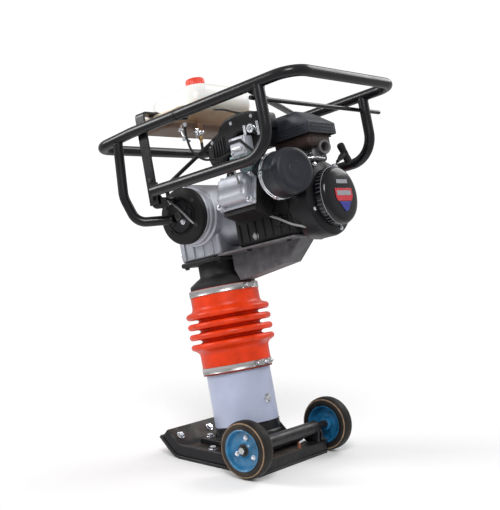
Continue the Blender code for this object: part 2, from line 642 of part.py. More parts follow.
def build_intake_and_exhaust(lean):
    can = empty("filter_axis", lean, FILTER_AT, FILTER_TURN)
    turned("air_cleaner_base", "clamp_steel",
           [(0.0500, 0.012), (0.0590, 0.006), (0.0600, -0.006), (0.0575, -0.006), (0.0565, 0.004), (0.0300, 0.008),
            (0.0300, 0.012)], can, sides=32)
    turned("air_cleaner_cover", "engine_plastic",
           [(0.0570, -0.0063), (0.0575, -0.0480), (0.0540, -0.0640), (0.0400, -0.0680), (0, -0.0690),
            (0, -0.0650), (0.0390, -0.0640), (0.0510, -0.0600), (0.0535, -0.0470), (0.0530, -0.0063)],
           can, sides=32)
    box("carburettor", "cast_aluminium", (-0.312, 0.158, 0.752), (-0.262, 0.192, 0.800), lean, 0.006)
    cover = box("intake_cover", "engine_plastic", (-0.325, 0.070, 0.762), (-0.225, 0.150, 0.862), lean, 0.024, 3)
    lobe = box("cover_lobe", None, (-0.240, 0.075, 0.768), (-0.160, 0.140, 0.828), lean, 0.020, 2)
    join(cover, lobe)
    box("muffler", "muffler_steel", (-0.404, -0.044, 0.752), (-0.290, 0.052, 0.808), lean, 0.014)
    hood = box("muffler_hood", "engine_plastic", (-0.416, -0.054, 0.784), (-0.278, 0.064, 0.848), lean, 0.020, 1)
    cut(hood, box("hood_pocket", None, (-0.409, -0.047, 0.770), (-0.285, 0.057, 0.825), lean))
    lever = [("rod", (0.004, 0.020, 12), (0, 0, 0.010), (0, 0, 0)),
             ("box", (0.034, 0.006, 0.003), (-0.013, 0, 0.0195), (0, 0, 0))]
    choke = solids("choke_lever", "zinc", lever[:1], lean, (-0.352, 0.028, 0.7200))
    arm = solids("choke_arm", None, lever[1:], choke)
    join(choke, arm)
    grip = empty("grip_axis", lean, (-0.420, -0.0255, 0.7085), (math.radians(60.6), 0, 0))
    pull = rod("starter_grip", "black_rubber", 0.0035, 0.050, grip, (0, 0, 0.027), sides=10)
    bar = solids("grip_bar", None, [("rod", (0.0100, 0.058, 14), (0, 0, 0), Z_TO_Y)], grip, (0, 0, 0.048))
    neck = solids("grip_neck", None, [("rod", (0.0080, 0.016, 12), (0, 0, 0), (0, 0, 0))], grip, (0, 0, 0.036))
    join(pull, neck, bar)


# ---------------------------------------------------------------- handle frame and tank

def rail_height(u):
    """Height of the top loop's centre line along its straight side."""
    return BEND_S + (REAR_S - BEND_S) * (BEND_U - u) / (BEND_U - REAR_U)


def build_handle(lean):
    corners = [(REAR_U, RAIL_Y, REAR_S), (BEND_U, RAIL_Y, BEND_S), (FRONT_U, RAIL_Y, FRONT_S),
               (FRONT_U, -RAIL_Y, FRONT_S), (BEND_U, -RAIL_Y, BEND_S), (REAR_U, -RAIL_Y, REAR_S)]
    loop = rounded_path(corners, (0.055, 0.150, 0.045, 0.045, 0.150, 0.055), closed=True, steps=4)
    tube("handle_loop", "black_steel", loop, TUBE_RADIUS, lean, True)
    cope = tube("loop_cope", None, loop, TUBE_RADIUS + GAP, lean, True)

    for side, name in ((1, "left"), (-1, "right")):
        y = side * RAIL_Y
        rail_end = (-0.018, y, LOWER_RAIL_S)
        route = [(UPRIGHT_U, y, rail_height(UPRIGHT_U)), (UPRIGHT_U, y, LOWER_RAIL_S), rail_end]
        rail = tube(name + "_side_rail", "black_steel", rounded_path(route, [0.070], steps=6),
                    TUBE_RADIUS, lean)
        cut(rail, cope)

        build_mount_frame(name, side, lean, cope)
    build_braces(lean, cope)


def build_mount_frame(name, side, lean, cope):
    """A front tube, a tank strap and the bracket on a rubber mount, welded into one piece."""
    route = [(FRONT_TUBE_U - 0.012, side * RAIL_Y, 0.882), (FRONT_TUBE_U, side * RAIL_Y, 0.735),
             (FRONT_TUBE_U - 0.010, side * 0.205, 0.665), (0.012, side * 0.146, 0.657)]
    frame = tube(name + "_mount_frame", "black_steel", rounded_path(route, [0.075, 0.040], steps=4),
                 TUBE_RADIUS - 0.001, lean)
    face = DRUM_HALF + 0.022 + 3 * GAP
    trim = face + 0.002
    cut(frame, cope, box(name + "_tube_trim", None, (-0.1, -trim, 0.5), (0.2, trim, 0.8), lean))
    return join(frame, *mount_bracket(name, side, face, lean), tank_strap(name, side, lean))


def tank_strap(name, side, lean):
    """A flat bar that stands inside the side tubes and turns in over the tank's shoulder."""
    outer = STRAP_Y + STRAP_THICK / 2
    inner = STRAP_Y - STRAP_THICK / 2
    turn_out, turn_in = [], []
    for step in range(4):
        angle = math.radians(30 * step)
        turn_out.append((outer - 0.012 * (1 - math.cos(angle)), STRAP_TOP - 0.012 * (1 - math.sin(angle))))
        turn_in.append((inner - 0.006 * (1 - math.cos(angle)),
                        STRAP_TOP - STRAP_THICK - 0.006 * (1 - math.sin(angle))))
    outline = [(outer, STRAP_FOOT)] + turn_out + [(STRAP_END, STRAP_TOP), (STRAP_END, STRAP_TOP - STRAP_THICK)]
    outline += turn_in[::-1] + [(inner, STRAP_FOOT)]
    mirrored = [(side * y, s) for y, s in outline]
    return plate(name + "_strap", None, mirrored, STRAP_WIDTH, lean, (0, 0, 0), OUTLINE_YS)


def mount_bracket(name, side, face, lean):
    """A round-footed plate on the rubber mount, and the web that reaches out to the strap."""
    outline = arc((MOUNT_U, MOUNT_S), (0.040, 0.040), -200, 20, 11) + [(0.024, 0.712), (-0.024, 0.712)]
    sheet = plate(name + "_sheet", None, outline, 0.006, lean, (0, side * (face + 0.003), 0), OUTLINE_US)
    reach = sorted((side * (face + 0.001), side * STRAP_Y))
    web = box(name + "_web", None, (-0.011, reach[0], 0.700), (0.011, reach[1], 0.710), lean)
    return sheet, web


def build_braces(lean, cope):
    """The cross rod, which runs on past the right upright, and a stay across to the right rail."""
    rod_u = UPRIGHT_U + TUBE_RADIUS + 0.0055 + GAP
    length = RAIL_Y + TUBE_RADIUS + ROD_REACH
    middle = (RAIL_Y + TUBE_RADIUS - ROD_REACH) / 2
    rod("cross_rod", "black_steel", 0.0055, length, lean, (rod_u, middle, ROD_S), Z_TO_Y, 12)
    stay_end = rail_height(STAY_U) - 0.004
    stay = tube("diagonal_stay", "black_steel",
                [(UPRIGHT_U + 0.034, RAIL_Y - 0.010, rail_height(UPRIGHT_U) - 0.008),
                 (STAY_U, -RAIL_Y + 0.004, stay_end)], 0.008, lean)
    cut(stay, cope)


def build_tank(lean):
    """A blow-moulded tank: shoulders under the straps, a dome above, and a raked rear underside."""
    shoulder = 0.9345
    side = [(0.058, shoulder), (0.056, 0.905), (0.040, 0.893), (-0.035, 0.893), (-0.060, 0.905),
            (-0.115, shoulder)]
    body = plate("fuel_tank", "tank_white", side, 0.330, lean, (0, 0, 0), OUTLINE_US)
    dome_side = [(0.058, shoulder - 0.004), (0.052, 0.975), (0.030, 0.994), (-0.030, 1.004), (-0.105, 1.003),
                 (-0.128, 0.985), (-0.130, 0.950), (-0.115, shoulder - 0.004)]
    dome = plate("tank_dome", None, dome_side, 0.245, lean, (0, 0, 0), OUTLINE_US)
    neck = rod("filler_neck", None, 0.020, 0.030, lean, (CAP_U, 0, 0.9995), sides=24)
    boss = rod("tap_boss", None, 0.009, 0.030, lean, (-0.066, 0.060, 0.8920), sides=16)
    join(body, dome, neck, boss)
    rod("fuel_cap", "cap_red", 0.0285, 0.026, lean, (CAP_U, 0, 1.0145 + GAP + 0.013), sides=28)
    lever = rod("fuel_tap_lever", "engine_plastic", 0.006, 0.010, lean,
                (-0.066, 0.060 + 0.0095 + 0.005, 0.884), Z_TO_Y, 12)
    blade = box("tap_blade", None, (-0.0685, 0.072, 0.860), (-0.0635, 0.0785, 0.886), lean)
    join(lever, blade)


def build_throttle(lean):
    """A thumb lever hung inside the left rail, and its cable down to the carburettor."""
    lever = box("throttle_lever", "engine_plastic", (-0.150, RAIL_Y - 0.038, 0.880),
                (-0.132, RAIL_Y - TUBE_RADIUS - GAP, 0.902), lean, 0.003, 1)
    route = [(-0.141, RAIL_Y - 0.026, 0.8755), (-0.136, 0.1985, 0.842), (-0.140, 0.193, 0.800),
             (-0.168, 0.183, 0.772), (-0.215, 0.174, 0.764), (-0.2570, 0.173, 0.772)]
    tube("throttle_cable", "black_rubber", rounded_path(route, [0.04, 0.05, 0.04, 0.04], steps=3), 0.003,
         lean, resolution=1)
    return lever


def main():
    lean = empty("lean_frame", None, (0, 0, 0), (0, LEAN, 0))
    build_shoe(lean)
    build_leg(lean)
    spring("lower_spring", SLEEVE_BASE + GAP, PISTON_LOW - GAP, lean)
    spring("upper_spring", PISTON_HIGH + GAP, SPRING_TUBE_TOP - 0.008 - GAP, lean)
    build_bellows(lean)
    build_piston(lean)
    build_wheels()
    build_axle()
    build_gears(lean)
    build_case(lean)
    build_engine(lean)
    build_intake_and_exhaust(lean)
    build_handle(lean)
    build_tank(lean)
    build_throttle(lean)


main()
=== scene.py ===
"""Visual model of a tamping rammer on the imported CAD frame.

World frame: X forward to the toe, Y to the machine's left, Z up.  Most pieces are made in the leg
frame (u forward, y left, s up along the leg), which LEG turns into the world.
"""
import json
import math

import bmesh
import bpy
from mathutils import Euler, Matrix, Vector


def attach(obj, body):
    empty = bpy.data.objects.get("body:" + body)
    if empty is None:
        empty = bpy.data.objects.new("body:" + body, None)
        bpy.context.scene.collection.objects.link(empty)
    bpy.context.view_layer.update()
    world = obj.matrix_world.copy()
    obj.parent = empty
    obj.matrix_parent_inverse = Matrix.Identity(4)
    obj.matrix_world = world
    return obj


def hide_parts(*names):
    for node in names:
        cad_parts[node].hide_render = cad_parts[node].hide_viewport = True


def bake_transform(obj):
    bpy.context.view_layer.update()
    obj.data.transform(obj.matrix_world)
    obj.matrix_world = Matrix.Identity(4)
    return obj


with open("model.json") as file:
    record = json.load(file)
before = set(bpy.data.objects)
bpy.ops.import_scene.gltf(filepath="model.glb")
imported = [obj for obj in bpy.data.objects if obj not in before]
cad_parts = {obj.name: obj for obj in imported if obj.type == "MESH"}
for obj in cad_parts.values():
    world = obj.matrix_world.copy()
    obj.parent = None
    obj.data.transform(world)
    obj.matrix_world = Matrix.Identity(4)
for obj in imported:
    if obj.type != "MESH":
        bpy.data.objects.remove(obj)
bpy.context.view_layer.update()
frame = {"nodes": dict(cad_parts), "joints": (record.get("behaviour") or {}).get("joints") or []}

LEG_JOINT = next(joint for joint in frame["joints"] if joint["name"] == "leg_stroke")
LEAN = math.atan2(LEG_JOINT["axis"][0], LEG_JOINT["axis"][2])
LEG = Matrix.Rotation(LEAN, 4, "Y")
WORLD = Matrix.Identity(4)
Z_TO_U = Euler((0, math.pi / 2, 0)).to_matrix().to_4x4()
Z_TO_Y = Euler((-math.pi / 2, 0, 0)).to_matrix().to_4x4()
PLANE_US = Euler((math.pi / 2, 0, 0)).to_matrix().to_4x4()
PLANE_YS = Euler((math.pi / 2, 0, math.pi / 2)).to_matrix().to_4x4()

# Shafts and rubber mounts in the leg frame, in metres
ENGINE_AXIS = 0.623
GEAR_AXIS = 0.56735
MOUNT_U, MOUNT_S = -0.015, 0.660
TUBE = 0.014
RAIL_Y = 0.2275
LOOP = [(-0.512, RAIL_Y, 0.8982), (0.022, RAIL_Y, 0.8925), (0.161, RAIL_Y, 0.8835),
        (0.161, -RAIL_Y, 0.8835), (0.022, -RAIL_Y, 0.8925), (-0.512, -RAIL_Y, 0.8982)]


def shift(u, y, s):
    return Matrix.Translation((u, y, s))

def outward(side):
    """Turns local Z to the machine's left (side 1) or right (side -1)."""
    return Euler((-side * math.pi / 2, 0, 0)).to_matrix().to_4x4()


# ---------------------------------------------------------------- materials

def material(name, colour, rough, metal=0.0, vary=0.12, patch=14.0, grain=500.0, bump=0.12,
             rough_vary=0.12, dust_and_sheen=None, dust_and_sheen_amount=0.0, wear=None, wear_amount=0.0, coat=0.0,
             subsurface=0.0, streak=False, gloss=0.5):
    """A Principled material whose colour, roughness and relief come from object-space noise."""
    made = bpy.data.materials.new(name)
    made.use_nodes = True
    nodes, links = made.node_tree.nodes, made.node_tree.links
    shader = nodes["Principled BSDF"]
    shader.inputs["Metallic"].default_value = metal
    shader.inputs["Coat Weight"].default_value = coat
    shader.inputs["Coat Roughness"].default_value = 0.12
    shader.inputs["Specular IOR Level"].default_value = gloss
    shader.inputs["Subsurface Weight"].default_value = subsurface
    shader.inputs["Subsurface Scale"].default_value = 0.02
    place = nodes.new("ShaderNodeTexCoord").outputs["Object"]
    if streak:
        stretch = nodes.new("ShaderNodeMapping")
        stretch.inputs["Scale"].default_value = (1.0, 1.0, 14.0)
        links.new(place, stretch.inputs["Vector"])
        place = stretch.outputs["Vector"]

    def noise(scale, detail):
        node = nodes.new("ShaderNodeTexNoise")
        node.inputs["Scale"].default_value = scale
        node.inputs["Detail"].default_value = detail
        links.new(place, node.inputs["Vector"])
        return node.outputs["Fac"]

    def ramp(source, low, high, start=0.0, end=1.0):
        node = nodes.new("ShaderNodeMapRange")
        for key, value in (("From Min", low), ("From Max", high), ("To Min", start), ("To Max", end)):
            node.inputs[key].default_value = value
        links.new(source, node.inputs["Value"])
        return node.outputs["Result"]

    def mix(factor, first, second):
        node = nodes.new("ShaderNodeMix")
        node.data_type = "RGBA"
        links.new(factor, node.inputs["Factor"])
        for socket, value in ((node.inputs["A"], first), (node.inputs["B"], second)):
            if isinstance(value, tuple):
                socket.default_value = (*value, 1)
            else:
                links.new(value, socket)
        return node.outputs["Result"]

    def times(first, second):
        node = nodes.new("ShaderNodeMath")
        node.operation = "MULTIPLY"
        links.new(first, node.inputs[0])
        if isinstance(second, float):
            node.inputs[1].default_value = second
        else:
            links.new(second, node.inputs[1])
        return node.outputs["Value"]

    patches = noise(patch, 6.0)
    fine = noise(grain, 3.0)
    dark = tuple(channel * (1 - vary) for channel in colour)
    light = tuple(min(channel * (1 + vary), 1) for channel in colour)
    shade = mix(ramp(patches, 0.3, 0.7), dark, light)
    roughness = ramp(patches, 0.3, 0.7, max(rough - rough_vary, 0.03), min(rough + rough_vary, 1))
    if wear:
        edge = nodes.new("ShaderNodeNewGeometry").outputs["Pointiness"]
        rubbed = times(ramp(edge, 0.56, 0.66), ramp(noise(60.0, 4.0), 0.46, 0.62))
        shade = mix(times(rubbed, wear_amount), shade, wear)
    # Upward faces and random specks take this colour: dust on most materials, partly a painted highlight on
    # the rim blue.
    if dust_and_sheen:
        facing = nodes.new("ShaderNodeSeparateXYZ")
        links.new(nodes.new("ShaderNodeTexCoord").outputs["Normal"], facing.inputs["Vector"])
        upward_dust_and_sheen = times(ramp(facing.outputs["Z"], 0.2, 0.95), ramp(noise(22.0, 8.0), 0.4, 0.62))
        specks = ramp(noise(90.0, 4.0), 0.6, 0.76, 0.0, 0.3)
        added = nodes.new("ShaderNodeMath")
        added.operation = "MAXIMUM"
        links.new(upward_dust_and_sheen, added.inputs[0])
        links.new(specks, added.inputs[1])
        shade = mix(times(added.outputs["Value"], dust_and_sheen_amount), shade, dust_and_sheen)
    links.new(shade, shader.inputs["Base Color"])
    links.new(roughness, shader.inputs["Roughness"])
    relief = nodes.new("ShaderNodeBump")
    relief.inputs["Strength"].default_value = bump
    relief.inputs["Distance"].default_value = 0.0006
    links.new(fine, relief.inputs["Height"])
    links.new(relief.outputs["Normal"], shader.inputs["Normal"])
    return made


def tank_material():
    """Translucent white moulding, darkened by height towards its base: the tan lower part is painted shade
    and painted reflection of the ground over a little fuel tint, and the brown at its lower lip is a painted
    shadow line.
    """
    made = material("tank_plastic", (0.86, 0.87, 0.84), 0.38, vary=0.03, patch=9, grain=260, bump=0.08,
                    subsurface=0.25)
    nodes, links = made.node_tree.nodes, made.node_tree.links
    shader = nodes["Principled BSDF"]
    clean = shader.inputs["Base Color"].links[0].from_socket
    height = nodes.new("ShaderNodeSeparateXYZ")
    links.new(nodes.new("ShaderNodeTexCoord").outputs["Object"], height.inputs["Vector"])
    wave = nodes.new("ShaderNodeTexNoise")
    wave.inputs["Scale"].default_value = 18
    lift = nodes.new("ShaderNodeMath")
    lift.operation = "MULTIPLY_ADD"
    links.new(wave.outputs["Fac"], lift.inputs[0])
    lift.inputs[1].default_value = 0.006
    links.new(height.outputs["Z"], lift.inputs[2])
    bands = nodes.new("ShaderNodeValToRGB")
    span = nodes.new("ShaderNodeMapRange")
    span.inputs["From Min"].default_value = 0.888
    span.inputs["From Max"].default_value = 0.958
    links.new(lift.outputs["Value"], span.inputs["Value"])
    links.new(span.outputs["Result"], bands.inputs["Fac"])
    stops = bands.color_ramp.elements
    stops[0].position, stops[0].color = 0.0, (0.16, 0.075, 0.03, 1)
    stops[1].position, stops[1].color = 1.0, (1, 1, 1, 1)
    for position, colour in ((0.24, (0.17, 0.075, 0.03, 1)), (0.31, (0.42, 0.235, 0.12, 1)),
                             (0.60, (0.58, 0.38, 0.22, 1)), (0.72, (0.90, 0.84, 0.74, 1))):
        stops.new(position).color = colour
    # Painted shade: the height ramp darkens the lower tank to tan and its lip to brown, standing for shade
    # and ground reflection with a little fuel tint.
    painted_shade = nodes.new("ShaderNodeMix")
    painted_shade.data_type = "RGBA"
    painted_shade.blend_type = "MULTIPLY"
    painted_shade.inputs["Factor"].default_value = 1.0
    links.new(clean, painted_shade.inputs["A"])
    links.new(bands.outputs["Color"], painted_shade.inputs["B"])
    links.new(painted_shade.outputs["Result"], shader.inputs["Base Color"])
    return made


TAN_DUST = (0.30, 0.22, 0.15)
BARE = (0.30, 0.29, 0.28)
BLACK_TUBE = material("black_tube_paint", (0.005, 0.005, 0.007), 0.25, vary=0.2, patch=18, bump=0.06,
                      rough_vary=0.07, dust_and_sheen=TAN_DUST, dust_and_sheen_amount=0.05, wear=BARE, wear_amount=0.25,
                      gloss=0.4)
SHOE_PAINT = material("shoe_paint", (0.007, 0.007, 0.009), 0.45, vary=0.3, patch=30, bump=0.25,
                      dust_and_sheen=(0.17, 0.11, 0.07), dust_and_sheen_amount=0.28, wear=BARE, wear_amount=0.35, gloss=0.3)
SOLE_PAINT = material("sole_paint", (0.010, 0.010, 0.012), 0.36, vary=0.25, patch=30, bump=0.15,
                      dust_and_sheen=TAN_DUST, dust_and_sheen_amount=0.07, wear=BARE, wear_amount=0.35, gloss=0.35)
LEG_PAINT = material("leg_silver", (0.46, 0.50, 0.66), 0.40, 0.15, vary=0.10, patch=12, bump=0.12,
                     dust_and_sheen=(0.33, 0.30, 0.28), dust_and_sheen_amount=0.15, coat=0.12)
ORANGE = material("bellows_rubber", (0.76, 0.040, 0.001), 0.36, vary=0.2, patch=22, grain=350, bump=0.16,
                  dust_and_sheen=(0.62, 0.10, 0.03), dust_and_sheen_amount=0.14, gloss=0.35)
LIP = material("bellows_lip", (0.16, 0.022, 0.012), 0.5, vary=0.3, patch=60, bump=0.2)
BAND = material("band_steel", (0.46, 0.45, 0.45), 0.36, 0.85, vary=0.14, patch=40, bump=0.08, streak=True)
CHROME = material("bright_zinc", (0.80, 0.82, 0.86), 0.2, 1.0, vary=0.12, patch=60, bump=0.05)
# The light cyan laid on upward faces is partly dust, partly a painted highlight of the blue paint.
BLUE = material("rim_blue", (0.012, 0.135, 0.285), 0.34, vary=0.35, patch=40, bump=0.15,
                dust_and_sheen=(0.20, 0.38, 0.50), dust_and_sheen_amount=0.20, wear=BARE, wear_amount=0.3, coat=0.2)
TYRE = material("tyre_rubber", (0.010, 0.009, 0.008), 0.6, vary=0.3, patch=30, grain=420, bump=0.3,
                dust_and_sheen=(0.20, 0.13, 0.08), dust_and_sheen_amount=0.14, gloss=0.3)
TYRE_LINE = material("tyre_tan_line", (0.26, 0.17, 0.10), 0.75, vary=0.35, patch=60, bump=0.2)
STEEL = material("machined_steel", (0.50, 0.50, 0.51), 0.3, 1.0, vary=0.12, patch=40, bump=0.08)
ALU = material("cast_aluminium", (0.46, 0.47, 0.52), 0.46, 0.55, vary=0.16, patch=20, grain=650, bump=0.32,
               dust_and_sheen=(0.25, 0.22, 0.20), dust_and_sheen_amount=0.2)
ALU_BRIGHT = material("rocker_aluminium", (0.52, 0.53, 0.59), 0.45, 0.4, vary=0.10, patch=18, grain=700,
                      bump=0.22)
# Near-black: partly the castings' dark finish, partly painted shade where the neck and engine block sit in
# shadow.
DARK_CAST_AND_SHADE = material("dark_casting", (0.020, 0.019, 0.021), 0.55, 0.2, vary=0.3, patch=26, grain=420,
                     bump=0.35, dust_and_sheen=(0.16, 0.14, 0.13), dust_and_sheen_amount=0.2, gloss=0.3)
GREY_CAST = material("grey_casting", (0.115, 0.110, 0.118), 0.55, 0.25, vary=0.4, patch=40, grain=300,
                     bump=0.5, dust_and_sheen=(0.20, 0.17, 0.15), dust_and_sheen_amount=0.35)
ENGINE_BLACK = material("engine_black", (0.006, 0.006, 0.008), 0.36, vary=0.25, patch=24, bump=0.2,
                        dust_and_sheen=(0.15, 0.13, 0.12), dust_and_sheen_amount=0.07, gloss=0.32)
CANISTER = material("canister_black", (0.017, 0.019, 0.026), 0.40, vary=0.2, patch=20, grain=320, bump=0.2,
                    dust_and_sheen=(0.12, 0.12, 0.13), dust_and_sheen_amount=0.05, gloss=0.35)
GLOSS_BLACK = material("recoil_gloss", (0.004, 0.004, 0.006), 0.16, vary=0.2, patch=16, bump=0.03,
                       rough_vary=0.05, gloss=0.4)
HOOD = material("hood_blue_black", (0.030, 0.033, 0.046), 0.36, vary=0.25, patch=26, bump=0.2,
                dust_and_sheen=(0.14, 0.13, 0.13), dust_and_sheen_amount=0.08, wear=BARE, wear_amount=0.2, gloss=0.4)
MUFFLER = material("muffler_heat", (0.055, 0.033, 0.030), 0.5, 0.45, vary=0.4, patch=34, bump=0.4,
                   dust_and_sheen=(0.22, 0.13, 0.09), dust_and_sheen_amount=0.3)
RED_CAP = material("cap_red", (0.76, 0.045, 0.015), 0.33, vary=0.12, patch=30, bump=0.12)
RUBBER = material("black_rubber", (0.007, 0.007, 0.008), 0.55, vary=0.3, patch=30, grain=380, bump=0.3,
                  dust_and_sheen=(0.16, 0.14, 0.12), dust_and_sheen_amount=0.1, gloss=0.3)
TANK = tank_material()
TEAL = material("bowl_passivate", (0.15, 0.21, 0.22), 0.36, 0.75, vary=0.3, patch=40, bump=0.15)
PALE = material("pale_lead", (0.30, 0.30, 0.29), 0.45, vary=0.1, patch=60, bump=0.1)
BRASS = material("brass_fitting", (0.55, 0.38, 0.16), 0.3, 1.0, vary=0.15, patch=60, bump=0.08)
BADGE_RED = material("badge_red", (0.55, 0.012, 0.03), 0.25, vary=0.04, patch=60, bump=0.04, coat=0.3)
BADGE_BLUE = material("badge_blue", (0.02, 0.025, 0.28), 0.25, vary=0.04, patch=60, bump=0.04, coat=0.3)
BADGE_SILVER = material("badge_silver", (0.34, 0.35, 0.38), 0.4, 0.4, vary=0.04, patch=80, bump=0.05)
OUTLET = material("outlet_casting", (0.17, 0.165, 0.17), 0.5, 0.4, vary=0.3, patch=50, bump=0.4)
VENT = material("vent_grey", (0.10, 0.10, 0.11), 0.4, 0.6, vary=0.2, patch=80, bump=0.05)
# Near-black: painted shade in the intake slots, hood perforations and exhaust mouth, and the black of the
# rail end caps.
SHADE_AND_CAP_BLACK = material("painted_shade_and_cap_black", (0.003, 0.003, 0.003), 0.8, vary=0.2, patch=40, bump=0.2)
SPRING = material("spring_steel", (0.28, 0.28, 0.30), 0.33, 1.0, vary=0.15, patch=50, bump=0.08)
RUST = material("rusty_post", (0.26, 0.095, 0.045), 0.65, 0.2, vary=0.4, patch=60, bump=0.35)


# ---------------------------------------------------------------- mesh makers

def finish_piece(name, bm, look, body, replaces=(), matrix=LEG, bevel=0.0, segments=3, angle=32):
    """Turn a bmesh into a piece that rides on a body."""
    bmesh.ops.remove_doubles(bm, verts=bm.verts, dist=1e-6)
    bmesh.ops.recalc_face_normals(bm, faces=bm.faces)
    mesh = bpy.data.meshes.new(name)
    bm.to_mesh(mesh)
    bm.free()
    mesh.shade_smooth()
    mesh.set_sharp_from_angle(angle=math.radians(angle))
    mesh.materials.append(look)
    obj = bpy.data.objects.new(name, mesh)
    bpy.context.scene.collection.objects.link(obj)
    obj.matrix_world = matrix
    if bevel:
        edge = obj.modifiers.new("Edges", "BEVEL")
        edge.width = bevel
        edge.segments = segments
        edge.limit_method = "ANGLE"
        edge.angle_limit = math.radians(angle)
    if body:
        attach(obj, body)
    if replaces:
        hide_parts(*replaces)
    return obj


def add_lathe(bm, profile, matrix=WORLD, steps=64, ripple=None):
    """Spin (radius, height) points about local Z; ends on the axis close to a point."""
    rings = []
    for radius, height in profile:
        if radius < 1e-7:
            rings.append([bm.verts.new(matrix @ Vector((0, 0, height)))])
            continue
        ring = []
        for step in range(steps):
            angle = 2 * math.pi * step / steps
            reach = radius + (ripple(angle, radius, height) if ripple else 0)
            ring.append(bm.verts.new(matrix @ Vector((reach * math.cos(angle), reach * math.sin(angle),
                                                      height))))
        rings.append(ring)
    for low, high in zip(rings, rings[1:]):
        for step in range(steps):
            following = (step + 1) % steps
            corners = [low[step % len(low)], low[following % len(low)],
                       high[following % len(high)], high[step % len(high)]]
            unique = list(dict.fromkeys(corners))
            if len(unique) > 2:
                bm.faces.new(unique)


def lathe(name, profile, look, body, replaces=(), matrix=LEG, at=WORLD, steps=64, closed=False,
          ripple=None, angle=32):
    bm = bmesh.new()
    add_lathe(bm, profile + profile[:1] if closed else profile, at, steps, ripple)
    return finish_piece(name, bm, look, body, replaces, matrix, angle=angle)


def rounded(corners, radii, closed=False, steps=8):
    """Points of a polyline whose corners are rounded to the given radii."""
    corners = [Vector(corner) for corner in corners]
    count = len(corners)
    inner = range(count) if closed else range(1, count - 1)
    points = [] if closed else [corners[0]]
    for index, radius in zip(inner, radii):
        corner = corners[index]
        back = (corners[index - 1] - corner).normalized()
        ahead = (corners[(index + 1) % count] - corner).normalized()
        half = back.angle(ahead) / 2
        centre = corner + (back + ahead).normalized() * radius / math.sin(half)
        reach = radius / math.tan(half)
        first = (corner + back * reach - centre).normalized()
        last = (corner + ahead * reach - centre).normalized()
        points += [centre + radius * first.slerp(last, step / steps) for step in range(steps + 1)]
    if not closed:
        points.append(corners[-1])
    return points


def add_pipe(bm, points, radius, sides=16, closed=False):
    """A round tube along points, its rings carried without twist."""
    points = [Vector(point) for point in points]
    count = len(points)
    rings, normal = [], None
    for index, point in enumerate(points):
        if closed:
            ahead = (points[(index + 1) % count] - points[index - 1]).normalized()
        else:
            ahead = (points[min(index + 1, count - 1)] - points[max(index - 1, 0)]).normalized()
        if normal is None:
            normal = ahead.orthogonal().normalized()
        normal = (normal - ahead * normal.dot(ahead)).normalized()
        side = ahead.cross(normal)
        rings.append([bm.verts.new(point + radius * (math.cos(a) * normal + math.sin(a) * side))
                      for a in [2 * math.pi * step / sides for step in range(sides)]])
    pairs = list(zip(rings, rings[1:]))
    if closed:
        offset = min(range(sides), key=lambda k: (rings[0][k].co - rings[-1][0].co).length)
        pairs.append((rings[-1], rings[0][offset:] + rings[0][:offset]))
    for low, high in pairs:
        for step in range(sides):
            following = (step + 1) % sides
            bm.faces.new((low[step], low[following], high[following], high[step]))
    if not closed:
        bm.faces.new(rings[0])
        bm.faces.new(rings[-1])


def pipe(name, points, radius, look, body, replaces=(), sides=20, closed=False):
    bm = bmesh.new()
    add_pipe(bm, points, radius, sides, closed)
    return finish_piece(name, bm, look, body, replaces, angle=50)


def add_prism(bm, outline, low, high, matrix):
    """An outline in local XY, drawn out between two local heights."""
    bottom = [bm.verts.new(matrix @ Vector((x, y, low))) for x, y in outline]
    top = [bm.verts.new(matrix @ Vector((x, y, high))) for x, y in outline]
    bm.faces.new(bottom)
    bm.faces.new(top)
    for index in range(len(outline)):
        bm.faces.new((bottom[index - 1], bottom[index], top[index], top[index - 1]))


def prism(name, outline, low, high, look, body, replaces=(), matrix=LEG, at=WORLD, bevel=0.0,
          segments=3):
    bm = bmesh.new()
    add_prism(bm, outline, low, high, at)
    return finish_piece(name, bm, look, body, replaces, matrix, bevel, segments)


def add_box(bm, low, high, matrix=WORLD, round_by=0.0, segments=3):
    """A box between two corners, rounded in the mesh itself."""
    low, high = Vector(low), Vector(high)
    made = bmesh.ops.create_cube(bm, size=1, matrix=Matrix.Translation((low + high) / 2)
                                 @ Matrix.Diagonal((*(high - low), 1)))
    verts = made["verts"]
    if round_by:
        edges = list({edge for vert in verts for edge in vert.link_edges})
        cut = bmesh.ops.bevel(bm, geom=edges, offset=round_by, segments=segments, affect="EDGES", profile=0.5)
        verts = list({vert for face in cut["faces"] for vert in face.verts}
                     | {vert for vert in verts if vert.is_valid})
    bmesh.ops.transform(bm, matrix=matrix, verts=verts)


def block(name, low, high, look, body, replaces=(), matrix=LEG, at=WORLD, round_by=0.006,
          segments=4):
    bm = bmesh.new()
    add_box(bm, low, high, at, round_by, segments)
    return finish_piece(name, bm, look, body, replaces, matrix)


def arc(centre, radii, start, end, steps):
    angles = [math.radians(start + (end - start) * step / steps) for step in range(steps + 1)]
    return [(centre[0] + radii[0] * math.cos(a), centre[1] + radii[1] * math.sin(a)) for a in angles]


def facing(at, direction):
    """A matrix whose local Z points along a direction, placed at a point."""
    return Matrix.Translation(at) @ Vector(direction).to_track_quat("Z", "Y").to_matrix().to_4x4()


def add_bolt(bm, at, direction, size):
    """A chamfered hexagon head on a washer, its foot on the given point; size is half across corners."""
    seat = facing(at, direction)
    base = size * 0.2
    top = base + size * 0.72
    add_lathe(bm, [(0, -0.0015), (size * 1.25, -0.0015), (size * 1.3, size * 0.14), (size * 1.2, base),
                   (0, base)], seat, 20)
    add_lathe(bm, [(0, base - 0.001), (size, base - 0.001), (size, base + size * 0.55), (size * 0.82, top),
                   (0, top)], seat, 6)


